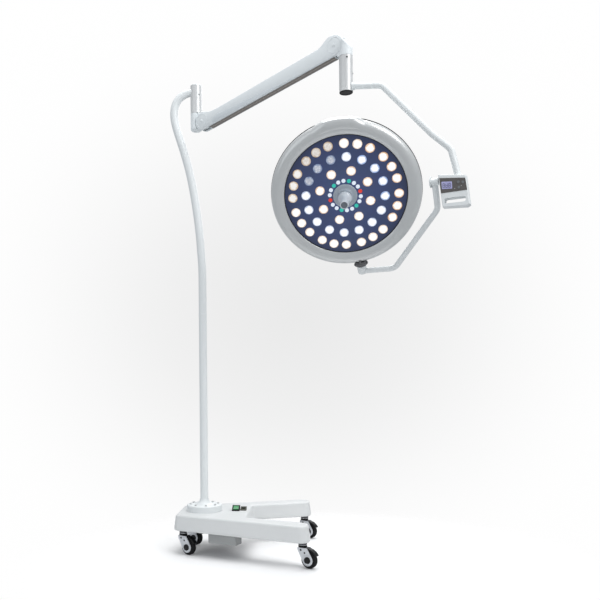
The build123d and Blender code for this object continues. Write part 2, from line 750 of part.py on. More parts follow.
def box_half_shell(side):
    """Half of the control box; side is +1 front, -1 back."""
    with BuildPart() as shell:
        with BuildSketch(yoke_frame):
            with BuildLine():
                Polyline(box_outline(0), close=True)
            make_face()
        extrude(amount=side * box_half)
        flat = shell.faces().filter_by(
            lambda face: abs(abs(face.normal_at().dot(yoke_frame.z_dir)) - 1) < 1e-3)
        outward = Axis(yoke_frame.origin, yoke_frame.z_dir * side)
        fillet(flat.sort_by(outward)[-1].edges(), 3)
        with BuildSketch(yoke_frame):
            with BuildLine():
                Polyline(box_outline(box_wall), close=True)
            make_face()
        extrude(amount=side * (box_half - box_wall), mode=Mode.SUBTRACT)
        # solid lower bar with the finger loop
        with BuildSketch(yoke_frame):
            with BuildLine():
                Polyline([(318, -50), (400, -52), (402.5, -84), (324, -86)], close=True)
            make_face()
        extrude(amount=side * (box_half - box_wall))
        with BuildSketch(yoke_frame):
            with Locations((361, -69)):
                RectangleRounded(66, 17, 6)
        extrude(amount=side * 40, mode=Mode.SUBTRACT)
        with BuildSketch(tilt_plane(300)):
            Circle(tilt_spindle_r)
        extrude(amount=18, mode=Mode.SUBTRACT)
        if side > 0:
            # recess for the display panel and the three key holes
            with BuildSketch(yoke_frame.offset(box_half - recess_depth)):
                with BuildLine():
                    Polyline(display_outline(0), close=True)
                make_face()
            extrude(amount=5, mode=Mode.SUBTRACT)
            with BuildSketch(yoke_frame.offset(8)):
                with Locations(*key_xy.values()):
                    Circle(key_hole_r)
            extrude(amount=20, mode=Mode.SUBTRACT)
    return shell.part


save("box_back", box_half_shell(-1))
save("box_front", box_half_shell(1))

with BuildPart() as display_panel:
    with BuildSketch(yoke_frame.offset(box_half - recess_depth)):
        with BuildLine():
            Polyline(display_outline(0.2), close=True)
        make_face()
        with Locations(*key_xy.values()):
            Circle(key_hole_r, mode=Mode.SUBTRACT)
    extrude(amount=2.2)
save("display_panel", display_panel.part)

for name, xy in key_xy.items():
    with BuildPart() as key:
        with BuildSketch(yoke_frame.offset(box_half - 4)):
            with Locations(xy):
                Circle(key_r)
        extrude(amount=6)
    save(name, key.part)

with BuildPart() as tilt_spindle:
    with BuildSketch(tilt_plane(284.5)):
        Circle(tilt_spindle_r)
    extrude(amount=33.4)
save("tilt_spindle", tilt_spindle.part)

# ---------------- inner gimbal arm ----------------
tilt_boss_x, tilt_cap_t = 283.5, 3.5
head_pin_r = 7
inner_path = [(294.5, 6), (293, 94), (118, 297), (4, 298)]      # inner frame


def pivot_plane(y):
    """Plane square to the head pivot axis, y from the gimbal centre."""
    return Plane(origin=local(inner_frame, 0, y), x_dir=tilt_dir, z_dir=pivot_dir)


with BuildPart() as inner_arm_tube:
    with BuildLine(inner_frame) as path:
        FilletPolyline(inner_path, radius=tube_bend_r)
    with BuildSketch(Plane(origin=path.line @ 0, z_dir=path.line % 0)):
        Circle(inner_tube_r)
        Circle(inner_tube_r - tube_wall, mode=Mode.SUBTRACT)
    sweep(path=path.line)
    # tilt boss and bore
    with BuildSketch(tilt_plane(tilt_boss_x)):
        Circle(12)
    extrude(amount=23.5)
    with BuildSketch(tilt_plane(280)):
        Circle(tilt_spindle_r + clearance)
    extrude(amount=40, mode=Mode.SUBTRACT)
    # head pivot boss and bore
    with BuildSketch(pivot_plane(276)):
        Circle(16.5)
    extrude(amount=32)
    fillet(inner_arm_tube.faces().sort_by(Axis(gimbal, pivot_dir))[-1].edges(), 9)
    with BuildSketch(pivot_plane(270)):
        Circle(head_pin_r + clearance)
    extrude(amount=31, mode=Mode.SUBTRACT)
save("inner_arm_tube", inner_arm_tube.part)

with BuildPart() as tilt_cap:
    with BuildSketch(tilt_plane(tilt_boss_x - tilt_cap_t)):
        Circle(18)
    extrude(amount=tilt_cap_t)
    fillet(tilt_cap.faces().sort_by(Axis(gimbal, tilt_dir))[0].edges(), 2)
save("tilt_cap", tilt_cap.part)


# ---------------- lamp head ----------------
# Turned profiles are radius, height above the panel face.
def turned(profile):
    with BuildPart() as body:
        with BuildSketch(head_profile):
            with BuildLine():
                Polyline(profile, close=True)
            make_face()
        revolve(axis=lamp_axis)
    return body.part


with BuildPart() as front_ring:
    with BuildSketch(head_profile):
        with BuildLine():
            Line((208.2, -4), (208.2, 1))
            Spline([(208.2, 1), (217, 7), (232, 10), (247, 4), (rim_r, -9)],
                   tangents=[(0.5, 1), (0, -1)])
            Polyline([(rim_r, -9), (254, -15), (206, -15), (206, -4.2), (208.2, -4)])
        make_face()
    revolve(axis=lamp_axis)
save("front_ring", front_ring.part)

rim_seal = turned([(236, -15), (254.6, -15), (255.6, -16.5), (255.6, -20), (254, -21.5),
                   (236, -21.5)])
save("rim_seal", rim_seal)

with BuildPart() as rear_housing:
    with BuildSketch(head_profile):
        with BuildLine():
            Line((0, -74), (0, -71.5))
            Spline([(0, -71.5), (90, -68), (170, -56), (225, -40), (250.5, -24)],
                   tangents=[(1, 0), (0.4, 1)])
            Polyline([(250.5, -24), (250.5, -21.5), (253.5, -21.5), (253.5, -24)])
            Spline([(253.5, -24), (227, -42.5), (171, -58.5), (90, -70.5), (0, -74)],
                   tangents=[(-0.4, -1), (-1, 0)])
        make_face()
    revolve(axis=lamp_axis)
save("rear_housing", rear_housing.part)

grip_start, grip_sweep = 65.5, 40   # degrees round the rim
grip_profile = [(256.2, -22), (256.2, -4), (252, 6.5), (258, 4), (261.5, -3), (262, -14),
                (260, -22)]
with BuildPart() as rim_grip:
    with BuildSketch(head_profile):
        with BuildLine():
            Polyline(grip_profile, close=True)
        make_face()
    revolve(axis=lamp_axis, revolution_arc=grip_sweep)
save("rim_grip",
     largest(rim_grip.part.rotate(lamp_axis, grip_start) - front_ring.part - rim_seal))

big_lens_r, small_lens_r, lens_gap = 16.6, 8.0, 0.1
panel_t = 4
board_top, sheet_t = -11, 2         # LED board face; board and sink plate thickness
board_r, board_hole_r = 205.5, 12
fin_depth, fin_pitch, fin_t, fin_circle_r = 19, 24, 2.5, 185
sink_bottom = board_top - 2 * sheet_t


def ring_points(radius, angles):
    """Points on a circle; angles in degrees from the head's y axis towards x."""
    return [(radius * sin(radians(a)), radius * cos(radians(a))) for a in angles]


outer_points = ring_points(179, [23.4 + 45 * k + d for k in range(8) for d in (-14, 0, 14)])
middle_points = ring_points(133.5, [12.3 + 22.5 * k for k in range(16)])
inner_points = ring_points(87.5, [23.6 + 45 * k for k in range(8)])
small_points = ring_points(52.3, [4.3 + 20 * k for k in range(18)])

with BuildPart() as light_panel:
    with BuildSketch(head_frame.offset(-panel_t)):
        Circle(panel_r)
        with Locations(*outer_points, *middle_points, *inner_points):
            Circle(big_lens_r + lens_gap, mode=Mode.SUBTRACT)
        with Locations(*small_points):
            Circle(small_lens_r + lens_gap, mode=Mode.SUBTRACT)
        Circle(20, mode=Mode.SUBTRACT)
    extrude(amount=panel_t)
save("light_panel", light_panel.part)


def lenses(points, radius):
    with BuildPart() as discs:
        with BuildSketch(head_frame.offset(board_top)):
            with Locations(*points):
                Circle(radius)
        extrude(amount=11.4)
    return discs.part


save("warm_lenses", lenses(outer_points + inner_points, big_lens_r))
save("cool_lenses", lenses(middle_points, big_lens_r))
save("small_lenses", lenses(small_points, small_lens_r))

# disc with a raised wall round its edge, up to the panel
with BuildPart() as led_board:
    with BuildSketch(head_frame.offset(board_top - sheet_t)):
        Circle(board_r)
        Circle(board_hole_r, mode=Mode.SUBTRACT)
    extrude(amount=sheet_t)
    with BuildSketch(head_frame.offset(board_top)):
        Circle(205.9)
        Circle(201, mode=Mode.SUBTRACT)
    extrude(amount=-panel_t - board_top)
save("led_board", led_board.part)

with BuildPart() as heat_sink:
    with BuildSketch(head_frame.offset(sink_bottom)):
        Circle(board_r)
        Circle(board_hole_r, mode=Mode.SUBTRACT)
    extrude(amount=sheet_t)
    with BuildSketch(head_frame.offset(sink_bottom - fin_depth)):
        for i in range(-6, 7):
            with Locations((i * fin_pitch, 0)):
                Rectangle(fin_t, 2 * sqrt(fin_circle_r ** 2 - (i * fin_pitch) ** 2))
        Circle(30, mode=Mode.SUBTRACT)
    extrude(amount=fin_depth)
save("heat_sink", heat_sink.part)

with BuildPart() as head_pivot_boot:
    with BuildSketch(pivot_plane(246)):
        Circle(21)
    extrude(amount=27.5)
    fillet(head_pivot_boot.faces().sort_by(Axis(gimbal, pivot_dir))[-1].edges(), 5)
    with BuildSketch(pivot_plane(272)):
        Circle(head_pin_r)
    extrude(amount=27)
# cut back to the rim, keeping the piece outside it
boot = head_pivot_boot.part - front_ring.part - rim_seal - rear_housing.part
head_core = Cylinder(254.2, 60).moved(Location(head_frame)).moved(Location(lamp_dir * -22))
save("head_pivot_boot", largest(boot - head_core))

handle_stem_r, handle_r, handle_len = 9, 14.6, 90.0
with BuildPart() as handle_base:
    with BuildSketch(head_frame):
        Circle(41)
    extrude(amount=5)
    fillet(handle_base.faces().sort_by(Axis(lamp_centre, lamp_dir))[-1].edges(), 2.5)
    with BuildSketch(head_frame.offset(5)):
        Circle(25)
    extrude(amount=14)
    with BuildSketch(head_frame.offset(-12.9)):
        Circle(board_hole_r - 0.1)
    extrude(amount=14)
    with BuildSketch(head_frame):
        Circle(handle_stem_r + clearance)
    extrude(amount=30, mode=Mode.SUBTRACT)
save("handle_base", handle_base.part)

save("sterile_handle", turned([
    (0, 0.3), (handle_stem_r, 0.3), (handle_stem_r, 19.2), (22, 19.2), (23, 24), (17, 34),
    (handle_r, 42), (handle_r, handle_len - 5), (handle_r - 4, handle_len), (0, handle_len)]))
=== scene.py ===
import math
import bpy
import bmesh
import numpy as np
from mathutils import Vector, Matrix


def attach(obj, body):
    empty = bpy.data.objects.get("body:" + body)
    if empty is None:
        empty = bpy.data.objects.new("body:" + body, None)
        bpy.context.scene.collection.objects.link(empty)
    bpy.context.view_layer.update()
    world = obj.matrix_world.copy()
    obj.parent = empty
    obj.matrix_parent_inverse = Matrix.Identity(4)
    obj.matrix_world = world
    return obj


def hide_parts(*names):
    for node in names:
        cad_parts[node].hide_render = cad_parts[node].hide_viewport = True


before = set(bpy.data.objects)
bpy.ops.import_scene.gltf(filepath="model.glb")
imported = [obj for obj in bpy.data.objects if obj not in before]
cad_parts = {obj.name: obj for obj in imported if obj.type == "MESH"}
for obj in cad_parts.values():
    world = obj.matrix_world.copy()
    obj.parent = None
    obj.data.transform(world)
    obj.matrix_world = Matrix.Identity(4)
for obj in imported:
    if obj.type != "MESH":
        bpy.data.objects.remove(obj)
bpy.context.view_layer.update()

# ------------------------------------------------------------------ frame numbers (mm -> m)
OX, OY = -411.28, 141.26


def W(x, y, z):
    return Vector(((x + OX) / 1000, (y + OY) / 1000, z / 1000))


def unit(v):
    return Vector(v).normalized()


UP = Vector((0, 0, 1))
G = W(565.8, -430.4, 1326.8)
TA = unit((0.934, -0.357, 0))
TB = Vector((0.201, 0.526, -0.827))
TB = unit(TB - TA * TA.dot(TB))
TN = Vector((-0.075, -0.833, -0.548))
TN = unit(TN - TB * TB.dot(TN))
HX = (-TB).cross(TN)
HY = TN.cross(HX)
C = G + TN * 0.0127 - HX * 0.0065 - HY * 0.004
YZ = TA.cross(UP)
AZ, EL = math.radians(-36.33), math.radians(9.29)
EH = Vector((math.cos(AZ), math.sin(AZ), 0))
NEAR = EH.cross(UP)
PL = W(-19.4 + EH.x * 47.8, EH.y * 47.8, 1732.5)
ED = EH * math.cos(EL) + UP * math.sin(EL)
EU = NEAR.cross(ED)
PR = PL + ED * 0.6509
LEN = 650.9
TD = Vector((math.cos(math.radians(-31)), math.sin(math.radians(-31)), 0))
AD = TD.cross(UP)
CASTORS = {"fr": (402, -258), "rr": (402, 258), "fl": (-72, -89), "rl": (-72, 89)}


# ------------------------------------------------------------------ materials
def nodes_of(name):
    m = bpy.data.materials.new(name)
    m.use_nodes = True
    nt = m.node_tree
    bs = nt.nodes["Principled BSDF"]
    return m, nt, bs


def make_mat(name, color, rough=0.4, metal=0.0, noise=40.0, vary=0.06, bump=0.05, bump_scale=180.0,
             coat=0.0, wear=0.0, wear_color=(0.3, 0.3, 0.3), spec=0.5, emit=None, emit_s=0.0):
    m, nt, bs = nodes_of(name)
    N, L = nt.nodes, nt.links
    tc = N.new("ShaderNodeTexCoord")
    nz = N.new("ShaderNodeTexNoise")
    nz.inputs["Scale"].default_value = noise
    nz.inputs["Detail"].default_value = 5
    L.new(tc.outputs["Object"], nz.inputs["Vector"])
    mixc = N.new("ShaderNodeMix")
    mixc.data_type = "RGBA"
    lo = [max(0, c * (1 - vary)) for c in color]
    hi = [min(1, c * (1 + vary * 0.6)) for c in color]
    mixc.inputs[6].default_value = (*lo, 1)
    mixc.inputs[7].default_value = (*hi, 1)
    L.new(nz.outputs["Fac"], mixc.inputs[0])
    out = mixc.outputs[2]
    if wear > 0:
        nz2 = N.new("ShaderNodeTexNoise")
        nz2.inputs["Scale"].default_value = 9
        nz2.inputs["Detail"].default_value = 8
        L.new(tc.outputs["Object"], nz2.inputs["Vector"])
        ramp = N.new("ShaderNodeValToRGB")
        ramp.color_ramp.elements[0].position = 0.60
        ramp.color_ramp.elements[1].position = 0.78
        L.new(nz2.outputs["Fac"], ramp.inputs[0])
        mul = N.new("ShaderNodeMath")
        mul.operation = "MULTIPLY"
        mul.inputs[1].default_value = wear
        L.new(ramp.outputs[0], mul.inputs[0])
        mx = N.new("ShaderNodeMix")
        mx.data_type = "RGBA"
        L.new(mul.outputs[0], mx.inputs[0])
        L.new(out, mx.inputs[6])
        mx.inputs[7].default_value = (*wear_color, 1)
        out = mx.outputs[2]
    L.new(out, bs.inputs["Base Color"])
    mr = N.new("ShaderNodeMapRange")
    mr.inputs["To Min"].default_value = max(0.02, rough - 0.06)
    mr.inputs["To Max"].default_value = min(1, rough + 0.08)
    L.new(nz.outputs["Fac"], mr.inputs["Value"])
    L.new(mr.outputs[0], bs.inputs["Roughness"])
    bs.inputs["Metallic"].default_value = metal
    bs.inputs["Specular IOR Level"].default_value = spec
    if coat:
        bs.inputs["Coat Weight"].default_value = coat
        bs.inputs["Coat Roughness"].default_value = 0.28
    nb = N.new("ShaderNodeTexNoise")
    nb.inputs["Scale"].default_value = bump_scale
    nb.inputs["Detail"].default_value = 3
    L.new(tc.outputs["Object"], nb.inputs["Vector"])
    bp = N.new("ShaderNodeBump")
    bp.inputs["Strength"].default_value = bump
    bp.inputs["Distance"].default_value = 0.00003
    L.new(nb.outputs["Fac"], bp.inputs["Height"])
    L.new(bp.outputs[0], bs.inputs["Normal"])
    if emit:
        bs.inputs["Emission Color"].default_value = (*emit, 1)
        bs.inputs["Emission Strength"].default_value = emit_s
    return m


M = {}
M["white"] = make_mat("white_paint", (0.77, 0.80, 0.805), 0.42, coat=0.08, vary=0.010, bump=0.12, bump_scale=420, wear=0.02, wear_color=(0.62, 0.62, 0.6))
M["arm"] = make_mat("arm_paint", (0.78, 0.82, 0.835), 0.42, coat=0.08, vary=0.02, bump=0.10, bump_scale=420)
M["base"] = make_mat("base_plastic", (0.66, 0.675, 0.675), 0.40, coat=0.2, vary=0.02, bump=0.10, bump_scale=300, wear=0.05, wear_color=(0.66, 0.65, 0.62))
# darker copy of the arm paint: painted shade on the lower cheek field and on the underside strip
M["arm2"] = make_mat("arm_paint_painted_shade", (0.66, 0.71, 0.735), 0.42, coat=0.08, vary=0.02, bump=0.10, bump_scale=420)
M["under2"] = make_mat("arm_underside_mid", (0.36, 0.33, 0.30), 0.5, vary=0.1, bump=0.1)
M["under"] = make_mat("arm_underside", (0.20, 0.18, 0.165), 0.5, vary=0.1, bump=0.1)
M["sleeve"] = make_mat("sleeve_alloy", (0.66, 0.67, 0.67), 0.36, metal=0.25, vary=0.04, bump=0.06, bump_scale=500)
M["ring"] = make_mat("ring_silver", (0.62, 0.635, 0.635), 0.30, metal=0.3, coat=0.3, vary=0.012, bump=0.03, bump_scale=200)
M["seal"] = make_mat("seal_rubber", (0.008, 0.008, 0.009), 0.6, spec=0.25, vary=0.2, bump=0.15, bump_scale=600)
M["black"] = make_mat("black_plastic", (0.006, 0.006, 0.007), 0.42, spec=0.22, vary=0.2, bump=0.15, bump_scale=500)
M["grey"] = make_mat("grey_plastic", (0.30, 0.31, 0.31), 0.5, vary=0.08, bump=0.15, bump_scale=400)
M["boot"] = make_mat("boot_grey", (0.12, 0.12, 0.125), 0.5, vary=0.1, bump=0.15, bump_scale=400)
M["chassis"] = make_mat("chassis_steel", (0.10, 0.10, 0.105), 0.5, metal=0.6, vary=0.15, bump=0.2, wear=0.25, wear_color=(0.22, 0.2, 0.18))
M["cast"] = make_mat("cast_iron", (0.045, 0.045, 0.048), 0.7, metal=0.6, vary=0.2, bump=0.5, bump_scale=160)
M["tyre"] = make_mat("tyre_rubber", (0.008, 0.008, 0.009), 0.62, spec=0.18, vary=0.25, bump=0.25, bump_scale=500, wear=0.3, wear_color=(0.03, 0.029, 0.027))
M["shield"] = make_mat("castor_shield", (0.62, 0.64, 0.67), 0.32, metal=0.35, vary=0.08, bump=0.08, bump_scale=500, wear=0.25, wear_color=(0.2, 0.2, 0.2))
M["steel"] = make_mat("pin_steel", (0.45, 0.45, 0.46), 0.25, metal=1.0, vary=0.05, bump=0.05, bump_scale=700)
M["green"] = make_mat("rocker_green", (0.02, 0.20, 0.06), 0.3, coat=0.3, vary=0.1, bump=0.05, emit=(0.02, 0.5, 0.12), emit_s=0.12)
M["socket"] = make_mat("socket_olive", (0.035, 0.038, 0.022), 0.45, vary=0.2, bump=0.1)
M["board"] = make_mat("board_green", (0.02, 0.10, 0.04), 0.5, vary=0.15, bump=0.1)
M["sink"] = make_mat("sink_alloy", (0.55, 0.56, 0.57), 0.35, metal=0.9, vary=0.05, bump=0.1)
M["handle"] = make_mat("handle_plastic", (0.64, 0.69, 0.74), 0.3, coat=0.4, vary=0.05, bump=0.05, bump_scale=300)
M["hbase"] = make_mat("handle_base_plastic", (0.40, 0.45, 0.51), 0.35, coat=0.3, vary=0.06, bump=0.06)
M["tip"] = make_mat("handle_tip", (0.16, 0.18, 0.21), 0.4, vary=0.1, bump=0.1)
M["lcd"] = make_mat("lcd_window", (0.25, 0.25, 0.42), 0.15, coat=0.8, vary=0.1, bump=0.02, emit=(0.42, 0.42, 0.75), emit_s=0.25)
M["lcdink"] = make_mat("lcd_segments", (0.02, 0.02, 0.05), 0.3, vary=0.1, bump=0.02)
M["panelkey"] = make_mat("key_grey", (0.16, 0.17, 0.18), 0.4, vary=0.1, bump=0.1)
M["mark"] = make_mat("panel_mark", (0.55, 0.56, 0.58), 0.4, vary=0.05, bump=0.02)
M["darkglass"] = make_mat("display_dark", (0.10, 0.092, 0.088), 0.35, coat=0.2, vary=0.2, bump=0.02)


def panel_material():
    # navy panel, lighter in the middle and darker towards the rim; it also glows a little through its emission though
    # it is no lamp: painted light
    m, nt, bs = nodes_of("lens_panel_navy_painted_glow")
    N, L = nt.nodes, nt.links
    geo = N.new("ShaderNodeTexCoord")
    sub = N.new("ShaderNodeVectorMath")
    sub.operation = "SUBTRACT"
    sub.inputs[1].default_value = C
    L.new(geo.outputs["Object"], sub.inputs[0])
    ln = N.new("ShaderNodeVectorMath")
    ln.operation = "LENGTH"
    L.new(sub.outputs[0], ln.inputs[0])
    mr = N.new("ShaderNodeMapRange")
    mr.inputs["From Min"].default_value = 0.04
    mr.inputs["From Max"].default_value = 0.208
    L.new(ln.outputs["Value"], mr.inputs["Value"])
    ramp = N.new("ShaderNodeValToRGB")
    e = ramp.color_ramp.elements
    e[0].position, e[0].color = 0.0, (0.050, 0.080, 0.215, 1)
    e[1].position, e[1].color = 1.0, (0.014, 0.026, 0.085, 1)
    k = e.new(0.8)
    k.color = (0.030, 0.052, 0.150, 1)
    L.new(mr.outputs[0], ramp.inputs[0])
    nz = N.new("ShaderNodeTexNoise")
    nz.inputs["Scale"].default_value = 16
    nz.inputs["Detail"].default_value = 6
    L.new(geo.outputs["Object"], nz.inputs["Vector"])
    mx = N.new("ShaderNodeMix")
    mx.data_type = "RGBA"
    mx.blend_type = "MULTIPLY"
    mx.inputs[0].default_value = 0.35
    L.new(ramp.outputs[0], mx.inputs[6])
    L.new(nz.outputs["Color"], mx.inputs[7])
    L.new(mx.outputs[2], bs.inputs["Base Color"])
    # painted glow: the panel's own ramp colour also drives the emission
    L.new(ramp.outputs[0], bs.inputs["Emission Color"])
    bs.inputs["Emission Strength"].default_value = 0.18
    rr = N.new("ShaderNodeMapRange")
    rr.inputs["To Min"].default_value = 0.10
    rr.inputs["To Max"].default_value = 0.2
    L.new(nz.outputs["Fac"], rr.inputs["Value"])
    L.new(rr.outputs[0], bs.inputs["Roughness"])
    bs.inputs["Coat Weight"].default_value = 0.6
    bp = N.new("ShaderNodeBump")
    bp.inputs["Strength"].default_value = 0.02
    bp.inputs["Distance"].default_value = 0.0004
    L.new(nz.outputs["Fac"], bp.inputs["Height"])
    L.new(bp.outputs[0], bs.inputs["Normal"])
    return m


M["screwlight"] = make_mat("screw_plated", (0.62, 0.63, 0.63), 0.3, metal=0.5, vary=0.06, bump=0.05)
M["panel"] = panel_material()


def lens_material():
    # attribute "tint" is the colour of the fringe, "lit" the share of light, "full" how much of the
    # lens takes the tint; UV holds the place on the lens
    m, nt, bs = nodes_of("lens_lit")
    N, L = nt.nodes, nt.links

    def math_node(op, a, b=None, clamp=False):
        nd = N.new("ShaderNodeMath")
        nd.operation = op
        nd.use_clamp = clamp
        for i, x in enumerate((a, b)):
            if x is None:
                continue
            if isinstance(x, (int, float)):
                nd.inputs[i].default_value = x
            else:
                L.new(x, nd.inputs[i])
        return nd.outputs[0]

    def mix_node(fac, a, b):
        nd = N.new("ShaderNodeMix")
        nd.data_type = "RGBA"
        L.new(fac, nd.inputs[0])
        for i, x in ((6, a), (7, b)):
            if isinstance(x, tuple):
                nd.inputs[i].default_value = (*x, 1)
            else:
                L.new(x, nd.inputs[i])
        return nd.outputs[2]

    def ranged(v, a, b, c, d):
        nd = N.new("ShaderNodeMapRange")
        for k, x in (("From Min", a), ("From Max", b), ("To Min", c), ("To Max", d)):
            nd.inputs[k].default_value = x
        L.new(v, nd.inputs["Value"])
        return nd.outputs[0]

    uv = N.new("ShaderNodeUVMap")
    uv.uv_map = "lens"
    ln = N.new("ShaderNodeVectorMath")
    ln.operation = "LENGTH"
    L.new(uv.outputs[0], ln.inputs[0])
    rad = ln.outputs["Value"]
    tint = N.new("ShaderNodeAttribute")
    tint.attribute_name = "tint"
    lit = N.new("ShaderNodeAttribute")
    lit.attribute_name = "lit"
    full = N.new("ShaderNodeAttribute")
    full.attribute_name = "full"
    tc = N.new("ShaderNodeTexCoord")
    nz = N.new("ShaderNodeTexNoise")
    nz.inputs["Scale"].default_value = 110
    nz.inputs["Detail"].default_value = 3
    L.new(tc.outputs["Object"], nz.inputs["Vector"])
    # facets of the small reflector behind the lens
    vo = N.new("ShaderNodeTexVoronoi")
    vo.inputs["Scale"].default_value = 150
    L.new(tc.outputs["Object"], vo.inputs["Vector"])
    facet = ranged(vo.outputs["Distance"], 0.0, 0.7, 1.25, 0.35)
    noisy = math_node("ADD", rad, math_node("MULTIPLY", math_node("SUBTRACT", nz.outputs["Fac"], 0.5), 0.7))
    fringe = math_node("MAXIMUM", ranged(noisy, 0.62, 1.0, 0.0, 1.0), full.outputs["Fac"])
    glow = mix_node(fringe, (1.0, 0.99, 0.975), tint.outputs["Color"])
    # dim lenses show their tint and the facets, bright ones are white in the middle
    dim = ranged(lit.outputs["Fac"], 0.25, 0.8, 1.0, 0.0)
    tinted = mix_node(dim, glow, mix_node(math_node("MULTIPLY", facet, 0.45), tint.outputs["Color"], (0.98, 0.97, 0.95)))
    L.new(tinted, bs.inputs["Emission Color"])
    strength = math_node("MULTIPLY", ranged(fringe, 0.0, 1.0, 1.02, 0.62), lit.outputs["Fac"])
    detail = math_node("ADD", math_node("MULTIPLY", math_node("SUBTRACT", facet, 1.0), dim), 1.0)
    L.new(math_node("MULTIPLY", strength, detail), bs.inputs["Emission Strength"])
    dark = N.new("ShaderNodeMix")
    dark.data_type = "RGBA"
    dark.blend_type = "MULTIPLY"
    dark.inputs[0].default_value = 1.0
    L.new(tinted, dark.inputs[6])
    dark.inputs[7].default_value = (0.22, 0.22, 0.22, 1)
    L.new(dark.outputs[2], bs.inputs["Base Color"])
    bs.inputs["Roughness"].default_value = 0.14
    bs.inputs["Coat Weight"].default_value = 0.3
    bp = N.new("ShaderNodeBump")
    bp.inputs["Strength"].default_value = 0.2
    bp.inputs["Distance"].default_value = 0.0005
    L.new(vo.outputs["Distance"], bp.inputs["Height"])
    L.new(bp.outputs[0], bs.inputs["Normal"])
    return m


M["lens"] = lens_material()


# ------------------------------------------------------------------ mesh helpers
def make_obj(name, verts, faces, mat, smooth=35):
    me = bpy.data.meshes.new(name)
    me.from_pydata([tuple(v) for v in verts], [], faces)
    me.validate()
    bm = bmesh.new()
    bm.from_mesh(me)
    bmesh.ops.remove_doubles(bm, verts=bm.verts, dist=1e-6)
    bmesh.ops.recalc_face_normals(bm, faces=bm.faces)
    bm.to_mesh(me)
    bm.free()
    ob = bpy.data.objects.new(name, me)
    bpy.context.scene.collection.objects.link(ob)
    me.materials.append(mat)
    shade(ob, smooth)
    return ob


def shade(ob, angle=35):
    me = ob.data
    me.polygons.foreach_set("use_smooth", [True] * len(me.polygons))
    bm = bmesh.new()
    bm.from_mesh(me)
    lim = math.radians(angle)
    sharp = [False] * len(bm.edges)
    for i, e in enumerate(bm.edges):
        if len(e.link_faces) == 2:
            sharp[i] = e.calc_face_angle(0) > lim
    bm.free()
    at = me.attributes.get("sharp_edge") or me.attributes.new("sharp_edge", "BOOLEAN", "EDGE")
    at.data.foreach_set("value", sharp)
    me.update()


def join_rings(rings, closed_path=False, caps=True):
    verts, faces = [], []
    n = len(rings[0])
    for r in rings:
        verts += list(r)
    k = len(rings)
    for i in range(k if closed_path else k - 1):
        a, b = i * n, ((i + 1) % k) * n
        for j in range(n):
            j2 = (j + 1) % n
            faces.append((a + j, a + j2, b + j2, b + j))
    if caps and not closed_path:
        faces.append(tuple(range(n))[::-1])
        faces.append(tuple(range((k - 1) * n, k * n)))
    return verts, faces


def lathe(name, prof, origin, axis, xdir, mat, seg=96, closed=False, smooth=30, arc=None):
    # prof: (radius mm, height mm) along the axis; ends on the axis close by themselves
    axis, xdir = unit(axis), unit(xdir)
    ydir = axis.cross(xdir)
    verts, faces = [], []
    n = len(prof)
    for i in range(seg):
        t = 2 * math.pi * i / seg
        d = xdir * math.cos(t) + ydir * math.sin(t)
        for r, w in prof:
            verts.append(origin + d * (r / 1000) + axis * (w / 1000))
    for i in range(seg):
        a, b = i * n, ((i + 1) % seg) * n
        for j in range(n if closed else n - 1):
            j2 = (j + 1) % n
            faces.append((a + j, b + j, b + j2, a + j2))
    return make_obj(name, verts, faces, mat, smooth)


def curve_prof(pts, n=6):
    # Catmull-Rom through points, for smooth lathe profiles
    out = []
    P = [np.array(p, float) for p in pts]
    for i in range(len(P) - 1):
        p0 = P[max(i - 1, 0)]
        p1, p2 = P[i], P[i + 1]
        p3 = P[min(i + 2, len(P) - 1)]
        for k in range(n):
            t = k / n
            q = 0.5 * ((2 * p1) + (-p0 + p2) * t + (2 * p0 - 5 * p1 + 4 * p2 - p3) * t * t + (-p0 + 3 * p1 - 3 * p2 + p3) * t ** 3)
            out.append(tuple(q))
    out.append(tuple(P[-1]))
    return out


def rounded(pts, radii, n=7):
    out = []
    m = len(pts)
    for i in range(m):
        p = np.array(pts[i], float)
        a = np.array(pts[i - 1], float)
        b = np.array(pts[(i + 1) % m], float)
        r = radii[i] if hasattr(radii, "__len__") else radii
        u, v = (a - p) / np.linalg.norm(a - p), (b - p) / np.linalg.norm(b - p)
        ang = math.acos(max(-1, min(1, float(u @ v))))
        t = r / math.tan(ang / 2)
        c = p + (u + v) / np.linalg.norm(u + v) * (r / math.sin(ang / 2))
        s, e = p + u * t, p + v * t
        a0 = math.atan2(*(s - c)[::-1])
        a1 = math.atan2(*(e - c)[::-1])
        da = (a1 - a0 + math.pi) % (2 * math.pi) - math.pi
        for k in range(n + 1):
            q = a0 + da * k / n
            out.append((c[0] + r * math.cos(q), c[1] + r * math.sin(q)))
    return out


